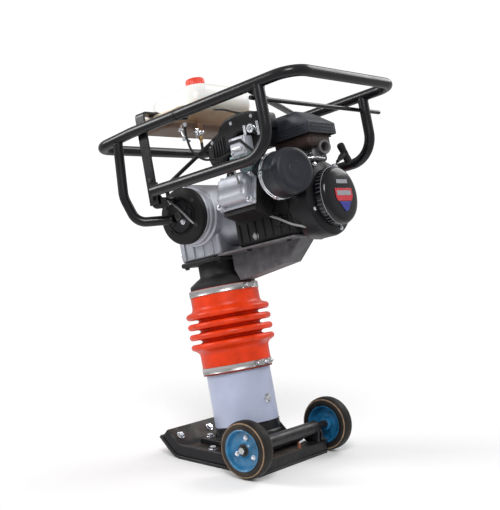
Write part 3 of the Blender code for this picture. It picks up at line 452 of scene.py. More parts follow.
def bolts(name, places, body, size, look=CHROME, replaces=(), matrix=LEG):
    bm = bmesh.new()
    for at, direction in places:
        add_bolt(bm, at, direction, size)
    return finish_piece(name, bm, look, body, replaces, matrix, angle=25)


def carve(obj, *tools):
    """Cut other meshes out of a piece, once and for all, and remove them."""
    for tool in tools:
        modifier = obj.modifiers.new("Cut", "BOOLEAN")
        modifier.operation = "DIFFERENCE"
        modifier.object = tool
        modifier.solver = "EXACT"
    bpy.context.view_layer.update()
    graph = bpy.context.evaluated_depsgraph_get()
    mesh = bpy.data.meshes.new_from_object(obj.evaluated_get(graph))
    obj.modifiers.clear()
    obj.data = mesh
    mesh.shade_smooth()
    mesh.set_sharp_from_angle(angle=math.radians(32))
    for tool in tools:
        bpy.data.objects.remove(tool, do_unlink=True)


def cutter(radius, length, at, sides=48, matrix=LEG):
    """A round tool for carve(), centred on a matrix in the leg frame or, with matrix=WORLD, in the world."""
    bm = bmesh.new()
    add_lathe(bm, [(0, -length / 2), (radius, -length / 2), (radius, length / 2), (0, length / 2)], at, sides)
    return finish_piece("tool", bm, SHADE_AND_CAP_BLACK, None, matrix=matrix)


# ---------------------------------------------------------------- shoe

BEND_X, BEND_R, TOE = 0.128, 0.060, math.radians(40)
HEEL_X, TIP_X, HALF = -0.139, 0.207, 0.150


def sole_line(offset, tip_x, steps=14):
    centre = Vector((BEND_X, BEND_R))
    points = [(HEEL_X, offset)]
    for step in range(steps + 1):
        angle = TOE * step / steps
        spoke = Vector((math.sin(angle), -math.cos(angle))) * (BEND_R - offset)
        points.append(tuple(centre + spoke))
    slope = Vector((math.cos(TOE), math.sin(TOE)))
    last = Vector(points[-1])
    points.append(tuple(last + slope * (tip_x - last.x) / slope.x))
    return points


def make_shoe():
    def layer(low, high, tip_x):
        return sole_line(low, tip_x) + sole_line(high, tip_x - (high - low) * math.sin(TOE))[::-1]

    prism("shoe_sole", layer(0, 0.009, TIP_X), -HALF, HALF, SOLE_PAINT, "foot", ["sole_plate"],
          WORLD, PLANE_US, 0.0016)
    prism("shoe_top", layer(0.0093, 0.036, TIP_X - 0.010), -HALF + 0.003, HALF - 0.003, SHOE_PAINT, "foot",
          ["shoe_board"], WORLD, PLANE_US, 0.0025)
    bm = bmesh.new()
    for y in (-HALF + 0.0042, HALF - 0.0042):
        path = [(x, y, z + 0.0015) for x, z in sole_line(0.036, TIP_X - 0.034)]
        add_pipe(bm, path, 0.0028, 10)
    finish_piece("shoe_weld_beads", bm, SOLE_PAINT, "foot", matrix=WORLD, angle=60)

    base = 0.0363
    bm = bmesh.new()
    add_box(bm, (-0.098, -0.090, base), (0.112, 0.090, 0.050), WORLD, 0.003, 3)
    finish_piece("foot_casting", bm, SHOE_PAINT, "foot", ["foot_flange"], WORLD)
    lathe("foot_socket", [(0.0905, 0.048), (0.0905, 0.060), (0.0885, 0.064), (0.0869, 0.066),
                          (0.0869, 0.0868), (0.0855, 0.0880), (0.030, 0.0880), (0.030, 0.048)], SOLE_PAINT,
          "foot", steps=96, closed=True)
    bm = bmesh.new()
    for angle in (35, 78, 145, 215, 282, 325):
        turn = Matrix.Rotation(math.radians(angle), 4, "Z")
        add_prism(bm, [(0.084, 0.050), (0.104, 0.050), (0.0865, 0.080), (0.084, 0.080)], -0.003, 0.003,
                  turn @ PLANE_US)
    finish_piece("foot_ribs", bm, SHOE_PAINT, "foot", bevel=0.0012)

    corner = [((-0.066, 0.105), "rear_left"), ((-0.066, -0.105), "rear_right"), ((0.038, 0.122),
            "front_left"), ((0.038, -0.122), "front_right")]
    for (x, y), where in corner:
        bolts("shoe_bolt_" + where, [((x, y, base), (0, 0, 1))], "foot", 0.0098, replaces=["foot_bolt_"
                + where], matrix=WORLD)
    bolts("flange_bolts", [((x, y, 0.050), (0, 0, 1)) for x in (0.096, -0.080) for y in (0.066, -0.066)],
          "foot", 0.0088, matrix=WORLD)
    slope = Vector((-math.sin(TOE), 0, math.cos(TOE)))
    toe_x = 0.158
    toe_z = next(z + (toe_x - x) * math.tan(TOE) for x, z in sole_line(0.036, TIP_X)[-2:-1])
    bolts("toe_bolts", [((toe_x, y, toe_z), slope) for y in (0.118, 0.0, -0.118)], "foot", 0.0085,
          matrix=WORLD)


# ---------------------------------------------------------------- leg

def make_leg():
    radius = 0.0869
    lathe("leg_tube", [(radius, 0.268), (radius, 0.0895), (radius - 0.0010, 0.0883), (0.0785, 0.0883),
                       (0.0785, 0.268)], LEG_PAINT, "foot", ["leg_sleeve"], steps=128,
          closed=True)
    bm = bmesh.new()
    add_pipe(bm, [(radius * math.cos(a), radius * math.sin(a), 0.0902)
                  for a in [2 * math.pi * step / 96 for step in range(96)]], 0.0015, 8, True)
    finish_piece("leg_weld", bm, SOLE_PAINT, "foot", angle=60)
    turn = Matrix.Rotation(math.radians(177), 4, "Z")
    seat = turn @ shift(radius, 0, 0.150) @ Z_TO_U
    bm = bmesh.new()
    add_lathe(bm, [(0, -0.001), (0.0125, -0.001), (0.0125, 0.0016), (0, 0.0016)], seat, 32)
    add_lathe(bm, [(0, 0.001), (0.0108, 0.001), (0.0108, 0.0055), (0.0092, 0.0072), (0.0045, 0.0072),
                   (0.0040, 0.0052), (0, 0.0052)], seat, 6)
    finish_piece("oil_plug", bm, CHROME, "foot", ["oil_sight_plug"], angle=25)


def fold_profile(grow):
    """Outer line of the bellows from the top collar down: round ribs with narrow rounded valleys."""
    peak, valley, pitch, first = 0.1144, 0.0822, 0.0277, 0.312
    nose = 0.0088
    line = [(0.0936, 0.4634), (0.0936, 0.4200), (0.0939, 0.4160), (0.0950, 0.4118), (0.0975, 0.4075)]
    for fold in range(3, -1, -1):
        middle = first + fold * pitch
        for radius, height in arc((peak - nose, 0), (nose, nose), 78, -78, 10):
            line.append((radius, middle + height))
        if fold:
            floor = middle - pitch / 2
            line += [(valley + 0.012, floor + 0.0062), (valley + 0.0035, floor + 0.0042),
                     (valley + 0.0005, floor + 0.0020), (valley, floor), (valley + 0.0005, floor - 0.0020),
                     (valley + 0.0035, floor - 0.0042), (valley + 0.012, floor - 0.0062)]
    line += [(0.0995, 0.2985), (0.0958, 0.2945), (0.0940, 0.2900), (0.0936, 0.2840), (0.0936, 0.2352)]
    return [(radius + grow, height) for radius, height in line]


def make_bellows():
    outer = fold_profile(0)
    inner = fold_profile(-0.003)[1:-1]
    profile = outer + [(0.0880, 0.2352), (0.0880, 0.2700)] + inner[::-1] + [(0.0906, 0.4440),
            (0.0906, 0.4634)]
    piece = lathe("bellows_rubber", profile, ORANGE, None, ["bellows"], steps=96,
                  closed=True, angle=60)
    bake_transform(piece)
    lathe("bellows_lower_lip", [(0.0936, 0.2350), (0.0944, 0.2346), (0.0944, 0.2328), (0.0936, 0.2322),
                                (0.0872, 0.2322), (0.0872, 0.2350)], LIP, "foot", steps=96,
          closed=True)


def make_clamp(name, height, body, angles):
    """A rolled-edge band, and worm-screw housings at the given angles."""
    inner, outer = 0.0939, 0.0951
    lathe(name + "_band", [(outer, height + 0.0070), (outer + 0.0007, height + 0.0078),
                           (outer, height + 0.0084), (inner, height + 0.0084), (inner, height - 0.0084),
                           (outer, height - 0.0084), (outer + 0.0007, height - 0.0078),
                           (outer, height - 0.0070)], BAND, body, [name], steps=128,
          closed=True, angle=50)
    bm, heads = bmesh.new(), bmesh.new()
    for angle in angles:
        turn = Matrix.Rotation(math.radians(angle), 4, "Z")
        at = turn @ shift(outer + 0.0042, 0, height)
        add_box(bm, (-0.0044, -0.0105, -0.0068), (0.0040, 0.0105, 0.0068), at, 0.0018, 3)
        add_box(bm, (-0.0050, -0.0165, -0.0052), (-0.0022, 0.0165, 0.0052), at, 0.0010, 2)
        screw = at @ shift(0.0004, 0, 0) @ Z_TO_Y
        add_lathe(heads, [(0, -0.0145), (0.0030, -0.0145), (0.0036, -0.0138), (0.0036, 0.0120),
                          (0.0052, 0.0122), (0.0052, 0.0160), (0.0042, 0.0172), (0, 0.0172)], screw, 18)
    finish_piece(name + "_housings", bm, BAND, body)
    finish_piece(name + "_screws", heads, CHROME, body, angle=25)


def make_springs():
    """The leg's coils, built as fixed helices."""
    for name, low, high, fixed_low in (("lower_spring", 0.0886, 0.1847, True), ("upper_spring", 0.2033,
            0.2957, False)):
        wire, mean, turns, steps = 0.0045, 0.034, 5, 24
        points = []
        for step in range(turns * steps + 1):
            angle = 2 * math.pi * step / steps
            height = low + wire + (high - low - 2 * wire) * step / (turns * steps)
            points.append((mean * math.cos(angle), mean * math.sin(angle), height))
        coil = pipe(name + "_coil", points, wire, SPRING, None, [name], sides=12)
        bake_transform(coil)


# ---------------------------------------------------------------- wheels

AXLE = Vector((-0.1202, 0, 0.0745))
AXLE_SEAT = Matrix.Translation(AXLE) @ Z_TO_Y


def make_wheels():
    for side, name in ((1, "left"), (-1, "right")):
        hub = Matrix.Translation((AXLE.x, side * 0.1773, AXLE.z)) @ outward(side)
        body = name + "_wheel"
        tread = [(0.0508, 0.0195), (0.0545, 0.0210), (0.0600, 0.0206), (0.0655, 0.0188), (0.0700, 0.0150),
                 (0.0722, 0.0098), (0.0729, 0.0045), (0.0730, 0)]
        profile = tread + [(radius, -height) for radius, height in tread[-2::-1]]
        lathe(name + "_wheel_tyre", profile, TYRE, body, [name + "_tyre"], hub, steps=96,
              closed=True)
        for face, suffix in ((1, "outer"), (-1, "inner")):
            line = [(0.0655, 0.0190), (0.0668, 0.0187), (0.0682, 0.0176), (0.0678, 0.0172), (0.0655, 0.0180)]
            lathe(name + "_tyre_line_" + suffix, [(radius, face * height) for radius, height in line],
                  TYRE_LINE, body, matrix=hub, steps=96, closed=True, angle=60)
        edge = [(0.0490, 0.0185), (0.0500, 0.0200), (0.0516, 0.0205), (0.0524, 0.0214), (0.0512, 0.0222),
                (0.0494, 0.0216), (0.0478, 0.0198), (0.0466, 0.0160), (0.0452, 0.0100), (0.0425, 0.0066),
                (0.0380, 0.0058), (0.0300, 0.0064), (0.0245, 0.0070), (0.0205, 0.0090), (0.0185, 0.0118),
                (0.0170, 0.0136), (0.0104, 0.0140)]
        back = [(0.0104, -0.0140), (0.0180, -0.0136), (0.0195, -0.0010), (0.0300, 0.0014), (0.0420, 0.0010),
                (0.0445, -0.0040), (0.0462, -0.0150), (0.0478, -0.0196), (0.0500, -0.0205), (0.0505, -0.0195),
                (0.0488, -0.0150), (0.0486, 0.0150)]
        lathe(name + "_wheel_rim", edge + back, BLUE, body, [name + "_rim"], hub, steps=96,
              closed=True)
        places = []
        for step in range(3):
            angle = 2 * math.pi * step / 3 + 0.5
            places.append(((0.0300 * math.cos(angle), 0.0300 * math.sin(angle), 0.0062), (0, 0, 1)))
        bolts(name + "_rim_bolts", places, body, 0.0050, matrix=hub)
        lathe(name + "_hub_cap", [(0.0104, 0.0152), (0.0150, 0.0152), (0.0162, 0.0140), (0.0162, 0.0100),
                                  (0.0104, 0.0100)], SOLE_PAINT, body, matrix=hub, steps=48,
              closed=True)


def make_axle():
    end = 0.1953
    bm = bmesh.new()
    add_lathe(bm, [(0, -end), (0.0090, -end), (0.0100, -end + 0.001), (0.0100, end - 0.001), (0.0090, end),
                   (0, end)], AXLE_SEAT, 40)
    finish_piece("axle_bar", bm, SOLE_PAINT, "foot", ["wheel_axle"], WORLD)
    lug = [(-0.137, 0.0363)] + arc((AXLE.x, AXLE.z), (0.0180, 0.0180), 180, 0, 16) + [(-0.092, 0.0363)]
    bm = bmesh.new()
    for y in (0.112, -0.112):
        add_prism(bm, lug, -0.005, 0.005, Matrix.Translation((0, y, 0)) @ PLANE_US)
    brackets = finish_piece("heel_lugs", bm, SOLE_PAINT, "foot", ["axle_brackets"], WORLD,
                            0.0012)
    carve(brackets, cutter(0.0103, 0.5, AXLE_SEAT, 40, WORLD))
    lathe("spacer_tube", [(0.0165, 0.1070), (0.0175, 0.1060), (0.0175, -0.1060), (0.0165, -0.1070),
                          (0.0104, -0.1070), (0.0104, 0.1070)], SOLE_PAINT, "foot",
          matrix=AXLE_SEAT, steps=48, closed=True)
    for side, name in ((1, "left"), (-1, "right")):
        bm = bmesh.new()
        seat = Matrix.Translation((AXLE.x, side * (end + 0.0003), AXLE.z)) @ outward(side)
        add_lathe(bm, [(0, 0), (0.0094, 0), (0.0094, 0.0046), (0.0080, 0.0059), (0, 0.0059)], seat, 6)
        finish_piece(name + "_nut", bm, STEEL, "foot",
                     [name + "_axle_nut"], WORLD, angle=25)
    # The catch on the heel: a bright link on a rust-coloured post, and curved hooks at the far corner
    bm = bmesh.new()
    add_lathe(bm, [(0, 0.0355), (0.0050, 0.0355), (0.0050, 0.052), (0.0040, 0.054), (0, 0.054)],
              Matrix.Translation((-0.1305, -0.030, 0)), 20)
    finish_piece("heel_post", bm, RUST, "foot", matrix=WORLD)
    bm = bmesh.new()
    add_pipe(bm, rounded([(-0.1320, -0.026, 0.052), (-0.1375, -0.040, 0.058), (-0.1320, -0.056, 0.050)],
                         [0.008]), 0.0032, 12)
    finish_piece("heel_link", bm, CHROME, "foot", matrix=WORLD, angle=60)
    bm = bmesh.new()
    for y in (-0.134, 0.134):
        hook = rounded([(-0.098, y, 0.0375), (-0.100, y, 0.066), (-0.128, y, 0.066), (-0.1335, y, 0.0375)],
                       [0.012, 0.012])
        add_pipe(bm, hook, 0.0048, 14)
    finish_piece("heel_hooks", bm, SOLE_PAINT, "foot", matrix=WORLD, angle=60)


# ---------------------------------------------------------------- gear case

def make_case():
    base = 0.5433
    lathe("neck", [(0.0580, 0.5310), (0.0580, 0.4985), (0.0600, 0.4950), (0.0700, 0.4890), (0.0870, 0.4770),
                   (0.0892, 0.4735), (0.0892, 0.4402), (0.0675, 0.4402), (0.0675, 0.2100), (0.0602, 0.2100),
                   (0.0602, 0.4677), (0.0520, 0.4757), (0.0520, 0.5310)], DARK_CAST_AND_SHADE, "power_head",
          ["guide_cylinder"], steps=96, closed=True)
    flange = block("neck_flange", (-0.074, -0.078, 0.5300), (0.070, 0.078, 0.5430), DARK_CAST_AND_SHADE, "power_head",
                   round_by=0.005)
    carve(flange, cutter(0.0525, 0.06, shift(0, 0, 0.54)))
    bolts("neck_flange_bolts", [((u, y, 0.5300), (0, 0, -1)) for u in (-0.062, 0.058)
                                for y in (-0.066, 0.066)], "power_head", 0.0065, look=SOLE_PAINT)

    case = block("gear_case", (-0.075, -0.074, base), (0.070, 0.074, 0.645), ALU, "power_head",
                 ["crankcase"], round_by=0.012, segments=5)
    carve(case, cutter(0.0505, 0.100, shift(0.022, 0, GEAR_AXIS) @ Z_TO_U),
          cutter(0.0520, 0.050, shift(0, 0, 0.5474)),
          cutter(0.0600, 0.060, shift(-0.107, 0, ENGINE_AXIS) @ Z_TO_U),
          cutter(0.0125, 0.200, shift(0, 0, ENGINE_AXIS) @ Z_TO_U))
    drum = lathe("case_drum", [(0.052, 0.1120), (0.0720, 0.1120), (0.0735, 0.1105), (0.0735, 0.1030),
                               (0.0775, 0.1010), (0.0785, 0.0990), (0.0785, 0.0900), (0.0820, 0.0880),
                               (0.0830, 0.0865), (0.0830, -0.0865), (0.0820, -0.0880), (0.0785, -0.0900),
                               (0.0785, -0.0990), (0.0775, -0.1010), (0.0735, -0.1030), (0.0735, -0.1105),
                               (0.0720, -0.1120), (0.052, -0.1120)], ALU, "power_head",
                 at=shift(MOUNT_U, 0, MOUNT_S) @ Z_TO_Y, steps=96, closed=True)
    carve(drum, cutter(0.0505, 0.100, shift(0.022, 0, GEAR_AXIS) @ Z_TO_U),
          cutter(0.0125, 0.400, shift(0, 0, ENGINE_AXIS) @ Z_TO_U))
    lathe("clutch_housing", [(0.0500, 0.0400), (0.0605, 0.0400), (0.0620, 0.0385), (0.0620, -0.0330),
                             (0.0640, -0.0345), (0.0640, -0.0400), (0.0500, -0.0400)], ALU, "power_head",
          at=shift(-0.097, 0, ENGINE_AXIS) @ Z_TO_U, steps=96, closed=True)
    bm = bmesh.new()
    for y in (-0.0755, 0.0755):
        for u in (-0.052, -0.018, 0.016, 0.048):
            add_box(bm, (u - 0.0025, y - 0.003, base + 0.006), (u + 0.0025, y + 0.003, 0.600), WORLD, 0.001,
                    2)
    finish_piece("case_ribs", bm, ALU, "power_head")

    outline = (arc((0, GEAR_AXIS), (0.058, 0.058), -22, 0, 6) + arc((0, 0.640), (0.036, 0.030), 0, 180, 24)
               + arc((0, GEAR_AXIS), (0.058, 0.058), 180, 202, 6))
    cover = prism("case_cover", outline, 0.0705, 0.0795, ALU, "power_head",
                  ["crankcase_cover"], at=PLANE_YS, bevel=0.0015)
    carve(cover, cutter(0.0143, 0.020, shift(0.0656, 0, GEAR_AXIS) @ Z_TO_U))
    lathe("case_cover_nose", [(0, 0.0890), (0.0300, 0.0890), (0.0330, 0.0870), (0.0340, 0.0780), (0, 0.0780)],
          ALU, "power_head", at=shift(0, 0, GEAR_AXIS) @ Z_TO_U, steps=64)
    places = [((0.0795, 0.050 * math.cos(a), GEAR_AXIS + 0.050 * math.sin(a)), (1, 0, 0))
              for a in [math.radians(v) for v in (0, 60, 120, 180)]] + [((0.0795, 0, 0.658), (1, 0, 0))]
    bolts("case_cover_bolts", places, "power_head", 0.0052)

    for side, name in ((1, "left"), (-1, "right")):
        seat = shift(MOUNT_U, side * 0.1123, MOUNT_S) @ outward(side)
        lathe(name + "_mount_rubber", [(0, 0), (0.0700, 0), (0.0738, 0.0015), (0.0750, 0.0045),
                                       (0.0750, 0.0080), (0.0715, 0.0100), (0.0750, 0.0122), (0.0750, 0.0170),
                                       (0.0735, 0.0200), (0.0690, 0.0218), (0.0480, 0.0218), (0.0460, 0.0190),
                                       (0.0400, 0.0190), (0.0380, 0.0218), (0, 0.0218)], RUBBER, "power_head",
              [name + "_rubber_mount"], at=seat, steps=96)
        places = [((MOUNT_U + 0.0585 * math.cos(a), side * 0.1341, MOUNT_S + 0.0585 * math.sin(a)),
                   (0, side, 0)) for a in [math.radians(v) for v in (35, 145, 215, 325)]]
        bolts(name + "_mount_bolts", places, "power_head", 0.0048, look=SOLE_PAINT)


def make_gear_train():
    """Metal looks for the CAD nodes that the case hides."""
    for node in ("crank_gear", "clutch_drum", "connecting_rod", "piston_rod", "spring_cylinder",
                 "engine_crankshaft"):
        set_look(node, STEEL)
    set_look("flywheel_fan", ALU)


def set_look(node, look):
    mesh = frame["nodes"][node].data
    mesh.materials.clear()
    mesh.materials.append(look)


# ---------------------------------------------------------------- engine

def make_engine():
    deck = block("bracket_deck", (-0.330, -0.088, 0.5387), (-0.0757, 0.088, 0.5447), GREY_CAST, "power_head",
                 ["engine_bracket"], round_by=0.002)
    carve(deck, cutter(0.005, 0.03, shift(-0.32, 0.08, 0.54)))
    side = [(-0.092, 0.468), (-0.250, 0.486), (-0.310, 0.540), (-0.078, 0.540), (-0.078, 0.500)]
    bm = bmesh.new()
    for y in (-0.030, 0.030):
        add_prism(bm, side, y - 0.0028, y + 0.0028, Matrix.Scale(-1, 4, (0, 1, 0)) @ PLANE_US)
    add_prism(bm, [(-0.092, 0.468), (-0.250, 0.486), (-0.310, 0.540), (-0.306, 0.540), (-0.248, 0.4885),
                   (-0.092, 0.4715)], -0.031, 0.031, PLANE_US)
    finish_piece("bracket_wedge", bm, GREY_CAST, "power_head", bevel=0.0008)
    bolts("bracket_bolts", [((u, y, 0.5387), (0, 0, -1)) for u in (-0.300, -0.170) for y in (-0.070, 0.070)],
          "power_head", 0.0065, look=SOLE_PAINT)

    casting = block("engine_casting", (-0.330, -0.085, 0.5450), (-0.1380, 0.078, 0.700), DARK_CAST_AND_SHADE,
                    "power_head", ["engine_block"], round_by=0.014, segments=5)
    carve(casting, cutter(0.0128, 0.26, shift(-0.234, 0, ENGINE_AXIS) @ Z_TO_U))
    bm = bmesh.new()
    for step in range(7):
        u = -0.312 + 0.026 * step
        add_box(bm, (u - 0.0016, 0.074, 0.556), (u + 0.0016, 0.0815, 0.604), WORLD, 0.0008, 2)
        add_box(bm, (u - 0.0016, -0.0885, 0.556), (u + 0.0016, -0.081, 0.690), WORLD, 0.0008, 2)
    finish_piece("engine_ribs", bm, DARK_CAST_AND_SHADE, "power_head")
    bolts("drain_plug", [((-0.205, 0.078, 0.566), (0, 1, 0))], "power_head", 0.0075, look=STEEL)
    lathe("oil_filler", [(0, 0.016), (0.0100, 0.016), (0.0118, 0.0145), (0.0120, 0.004), (0.0145, 0.003),
                         (0.0145, 0), (0, 0)], ENGINE_BLACK, "power_head",
          at=shift(-0.292, 0.078, 0.590) @ Z_TO_Y, steps=32,
          ripple=lambda a, r, h: 0.0006 * math.cos(10 * a) if r < 0.013 and h > 0.005 else 0)

    tilt = shift(-0.230, 0, ENGINE_AXIS + 0.006) @ Matrix.Rotation(math.radians(18), 4, "X")
    bm = bmesh.new()
    add_box(bm, (-0.0500, 0.070, -0.0430), (0.0500, 0.1520, 0.0430), tilt, 0.006, 3)
    finish_piece("cylinder_core", bm, DARK_CAST_AND_SHADE, "power_head", ["engine_cylinder"])
    bm = bmesh.new()
    for fin in range(9):
        y = 0.0855 + fin * 0.0076
        add_box(bm, (-0.0520, y, -0.0560), (0.0520, y + 0.0026, 0.0560), tilt, 0.0010, 2)
    finish_piece("cylinder_fins", bm, DARK_CAST_AND_SHADE, "power_head")

    bm = bmesh.new()
    add_box(bm, (-0.0580, 0.1523, -0.0440), (0.0580, 0.1590, 0.0440), tilt, 0.0030, 3)
    add_box(bm, (-0.0485, 0.1540, -0.0365), (0.0485, 0.1890, 0.0365), tilt, 0.0165, 7)
    for u in (-0.0480, 0.0480):
        for s in (-0.0345, 0.0345):
            add_lathe(bm, [(0, 0.002), (0.0098, 0.002), (0.0094, 0.0180), (0.0078, 0.0200), (0, 0.0200)],
                      tilt @ shift(u, 0.1523, s) @ Z_TO_Y, 28)
    for s in (-0.018, 0.0, 0.018):
        add_box(bm, (-0.040, 0.186, s - 0.0014), (0.040, 0.1888, s + 0.0014), tilt, 0.0008, 2)
    finish_piece("rocker_box", bm, ALU_BRIGHT, "power_head", ["rocker_cover"])
    up = tilt.to_3x3() @ Vector((0, 1, 0))
    bolts("rocker_bolts", [(tilt @ Vector((u, 0.1720, s)), up) for u in (-0.048, 0.048)
                           for s in (-0.0345, 0.0345)], "power_head", 0.0044, look=SPRING)
    bolts("spark_plug_nut", [(tilt @ Vector((0.0440, 0.1480, 0.050)), tilt.to_3x3()
                              @ Vector((0.4, 0.7, 0.6)))], "power_head", 0.0085)


def make_starter():
    axis = shift(0, 0, ENGINE_AXIS) @ Z_TO_U
    shroud = lathe("fan_housing", [(0.0760, -0.3303), (0.0920, -0.3303), (0.0945, -0.3330), (0.0960, -0.3400),
                                   (0.0960, -0.3850), (0.0940, -0.3920), (0.0900, -0.3955), (0.0660, -0.3998),
                                   (0.0660, -0.3960), (0.0860, -0.3900), (0.0915, -0.3820), (0.0915, -0.3410),
                                   (0.0880, -0.3343), (0.0760, -0.3343)], ENGINE_BLACK, "power_head",
                   ["fan_shroud"], at=axis, steps=96, closed=True)
    carve(shroud, cutter(0.0618, 0.140, FILTER @ shift(0, 0, -0.030)))
    lathe("recoil_dome", [(0.0735, -0.4003), (0.0735, -0.4190), (0.0728, -0.4240), (0.0712, -0.4285),
                          (0.0680, -0.4325), (0.0630, -0.4350), (0.0560, -0.4364), (0.0400, -0.4375),
                          (0, -0.4380), (0, -0.4340), (0.0490, -0.4330), (0.0660, -0.4300), (0.0695, -0.4210),
                          (0.0695, -0.4003)], GLOSS_BLACK, "power_head", ["recoil_cover"],
          at=axis, steps=128, closed=False)
    bm = bmesh.new()
    for step in range(44):
        if step % 11 == 0:
            continue
        turn = axis @ Matrix.Rotation(2 * math.pi * step / 44, 4, "Z")
        add_box(bm, (0.0728, -0.0017, -0.4180), (0.0741, 0.0017, -0.4050), turn, 0.0005, 1)
    finish_piece("recoil_vents", bm, VENT, "power_head")
    lathe("recoil_seam", [(0.0742, -0.4206), (0.0742, -0.4222), (0.0722, -0.4222), (0.0722, -0.4206)],
          BADGE_SILVER, "power_head", at=axis, steps=128, closed=True)
    places = [((-0.3985, 0.0820 * math.cos(a), ENGINE_AXIS + 0.0820 * math.sin(a)), (-1, 0, 0))
              for a in [math.radians(v) for v in (165, 255, 340)]]
    bolts("recoil_bolts", places, "power_head", 0.0046)

    # A plain badge: a silver strip over a red plate with a blue tail, with nothing written on it
    rear = shift(-0.4382, 0, ENGINE_AXIS) @ Euler((math.pi / 2, 0, -math.pi / 2)).to_matrix().to_4x4()
    prism("badge_strip", [(-0.024, 0.026), (0.024, 0.026), (0.024, 0.036), (-0.024, 0.036)], 0, 0.0010,
          BADGE_SILVER, "power_head", at=rear, bevel=0.0003)
    prism("badge_red_plate", [(-0.036, -0.010), (-0.030, -0.018), (0.030, -0.018), (0.038, -0.006),
                              (0.038, 0.014), (-0.036, 0.014)], 0, 0.0010, BADGE_RED, "power_head",
          at=rear, bevel=0.0003)
    prism("badge_silver_bar", [(-0.030, -0.004), (0.030, -0.004), (0.032, 0.002), (0.032, 0.008),
                               (-0.030, 0.008)], 0.0008, 0.0014, BADGE_SILVER, "power_head",
          at=rear, bevel=0.0002)
    prism("badge_blue_tail", [(-0.026, -0.0195), (0.026, -0.0195), (0.010, -0.0410), (-0.004, -0.0450)], 0,
          0.0010, BADGE_BLUE, "power_head", at=rear, bevel=0.0003)

    grip = shift(-0.420, -0.0255, 0.7085) @ Matrix.Rotation(math.radians(60.6), 4, "X")
    bm = bmesh.new()
    add_lathe(bm, [(0, 0.002), (0.0040, 0.002), (0.0048, 0.012), (0.0075, 0.026), (0.0082, 0.040),
                   (0, 0.044)], grip, 28)
    add_lathe(bm, [(0, -0.0290), (0.0060, -0.0284), (0.0092, -0.0255), (0.0100, -0.0200), (0.0094, -0.0080),
                   (0.0092, 0), (0.0094, 0.0080), (0.0100, 0.0200), (0.0092, 0.0255), (0.0060, 0.0284),
                   (0, 0.0290)], grip @ shift(0, 0, 0.048) @ Z_TO_Y, 32,
              ripple=lambda a, r, h: 0.00035 * math.cos(18 * h / 0.0035) if abs(h) < 0.02 else 0)
    finish_piece("starter_handle", bm, RUBBER, "starter", ["starter_grip"])
    rope_from, rope_to = Vector((-0.414, -0.020, 0.6990)), grip @ Vector((0, 0, 0.006))
    rope = pipe("starter_rope", [rope_from.lerp(rope_to, step / 20) for step in range(21)], 0.0019, RUBBER,
                None, sides=10)
    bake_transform(rope)
    bm = bmesh.new()
    add_lathe(bm, [(0, -0.010), (0.0085, -0.010), (0.0090, 0.000), (0.0075, 0.0035), (0.0045, 0.0035),
                   (0.0040, 0), (0, 0)], facing(rope_from - Vector((0, 0, 0.001)), rope_to - rope_from), 28)
    finish_piece("rope_guide", bm, CHROME, "power_head")


FILTER = shift(-0.347, 0.126, 0.690) @ Euler((0, math.pi / 2, math.radians(-15))).to_matrix().to_4x4()


def make_filter():
    lathe("filter_band", [(0.0300, 0.0120), (0.0500, 0.0120), (0.0560, 0.0100), (0.0592, 0.0070),
                          (0.0600, 0.0040), (0.0588, 0.0020), (0.0600, 0.0000), (0.0602, -0.0045),
                          (0.0592, -0.0060), (0.0575, -0.0060), (0.0565, 0.0040), (0.0300, 0.0080)], CHROME,
          "power_head", ["air_cleaner_base"], at=FILTER, steps=96, closed=True)
    lathe("filter_canister", [(0.0570, -0.0063), (0.0586, -0.0075), (0.0586, -0.0110), (0.0572, -0.0125),
                              (0.0575, -0.0420), (0.0583, -0.0440), (0.0583, -0.0490), (0.0572, -0.0520),
                              (0.0562, -0.0580), (0.0535, -0.0640), (0.0490, -0.0668), (0.0430, -0.0678),
                              (0.0400, -0.0672), (0.0300, -0.0668), (0.0210, -0.0672), (0.0195, -0.0686),
                              (0, -0.0688), (0, -0.0650), (0.0390, -0.0640), (0.0510, -0.0600),
                              (0.0535, -0.0470), (0.0530, -0.0063)], CANISTER, "power_head",
          ["air_cleaner_cover"], at=FILTER, steps=128, closed=True)
    bm = bmesh.new()
    for angle in (25, 95, 150, 250, 320):
        turn = FILTER @ Matrix.Rotation(math.radians(angle), 4, "Z")
        add_box(bm, (0.0575, -0.0050, -0.0100), (0.0610, 0.0050, 0.0070), turn, 0.0012, 2)
        add_lathe(bm, [(0, 0.0), (0.0030, 0.0), (0.0030, 0.0016), (0.0022, 0.0024), (0, 0.0024)],
                  turn @ shift(0.0605, 0, 0.001) @ Z_TO_U, 16)
    finish_piece("filter_clips", bm, CHROME, "power_head", angle=25)
    # Elbow from the canister's back to the carburettor
    elbow = rounded([(-0.336, 0.126, 0.700), (-0.300, 0.136, 0.715), (-0.287, 0.158, 0.760)], [0.028])
    pipe("intake_elbow", elbow, 0.020, ENGINE_BLACK, "power_head", sides=32)


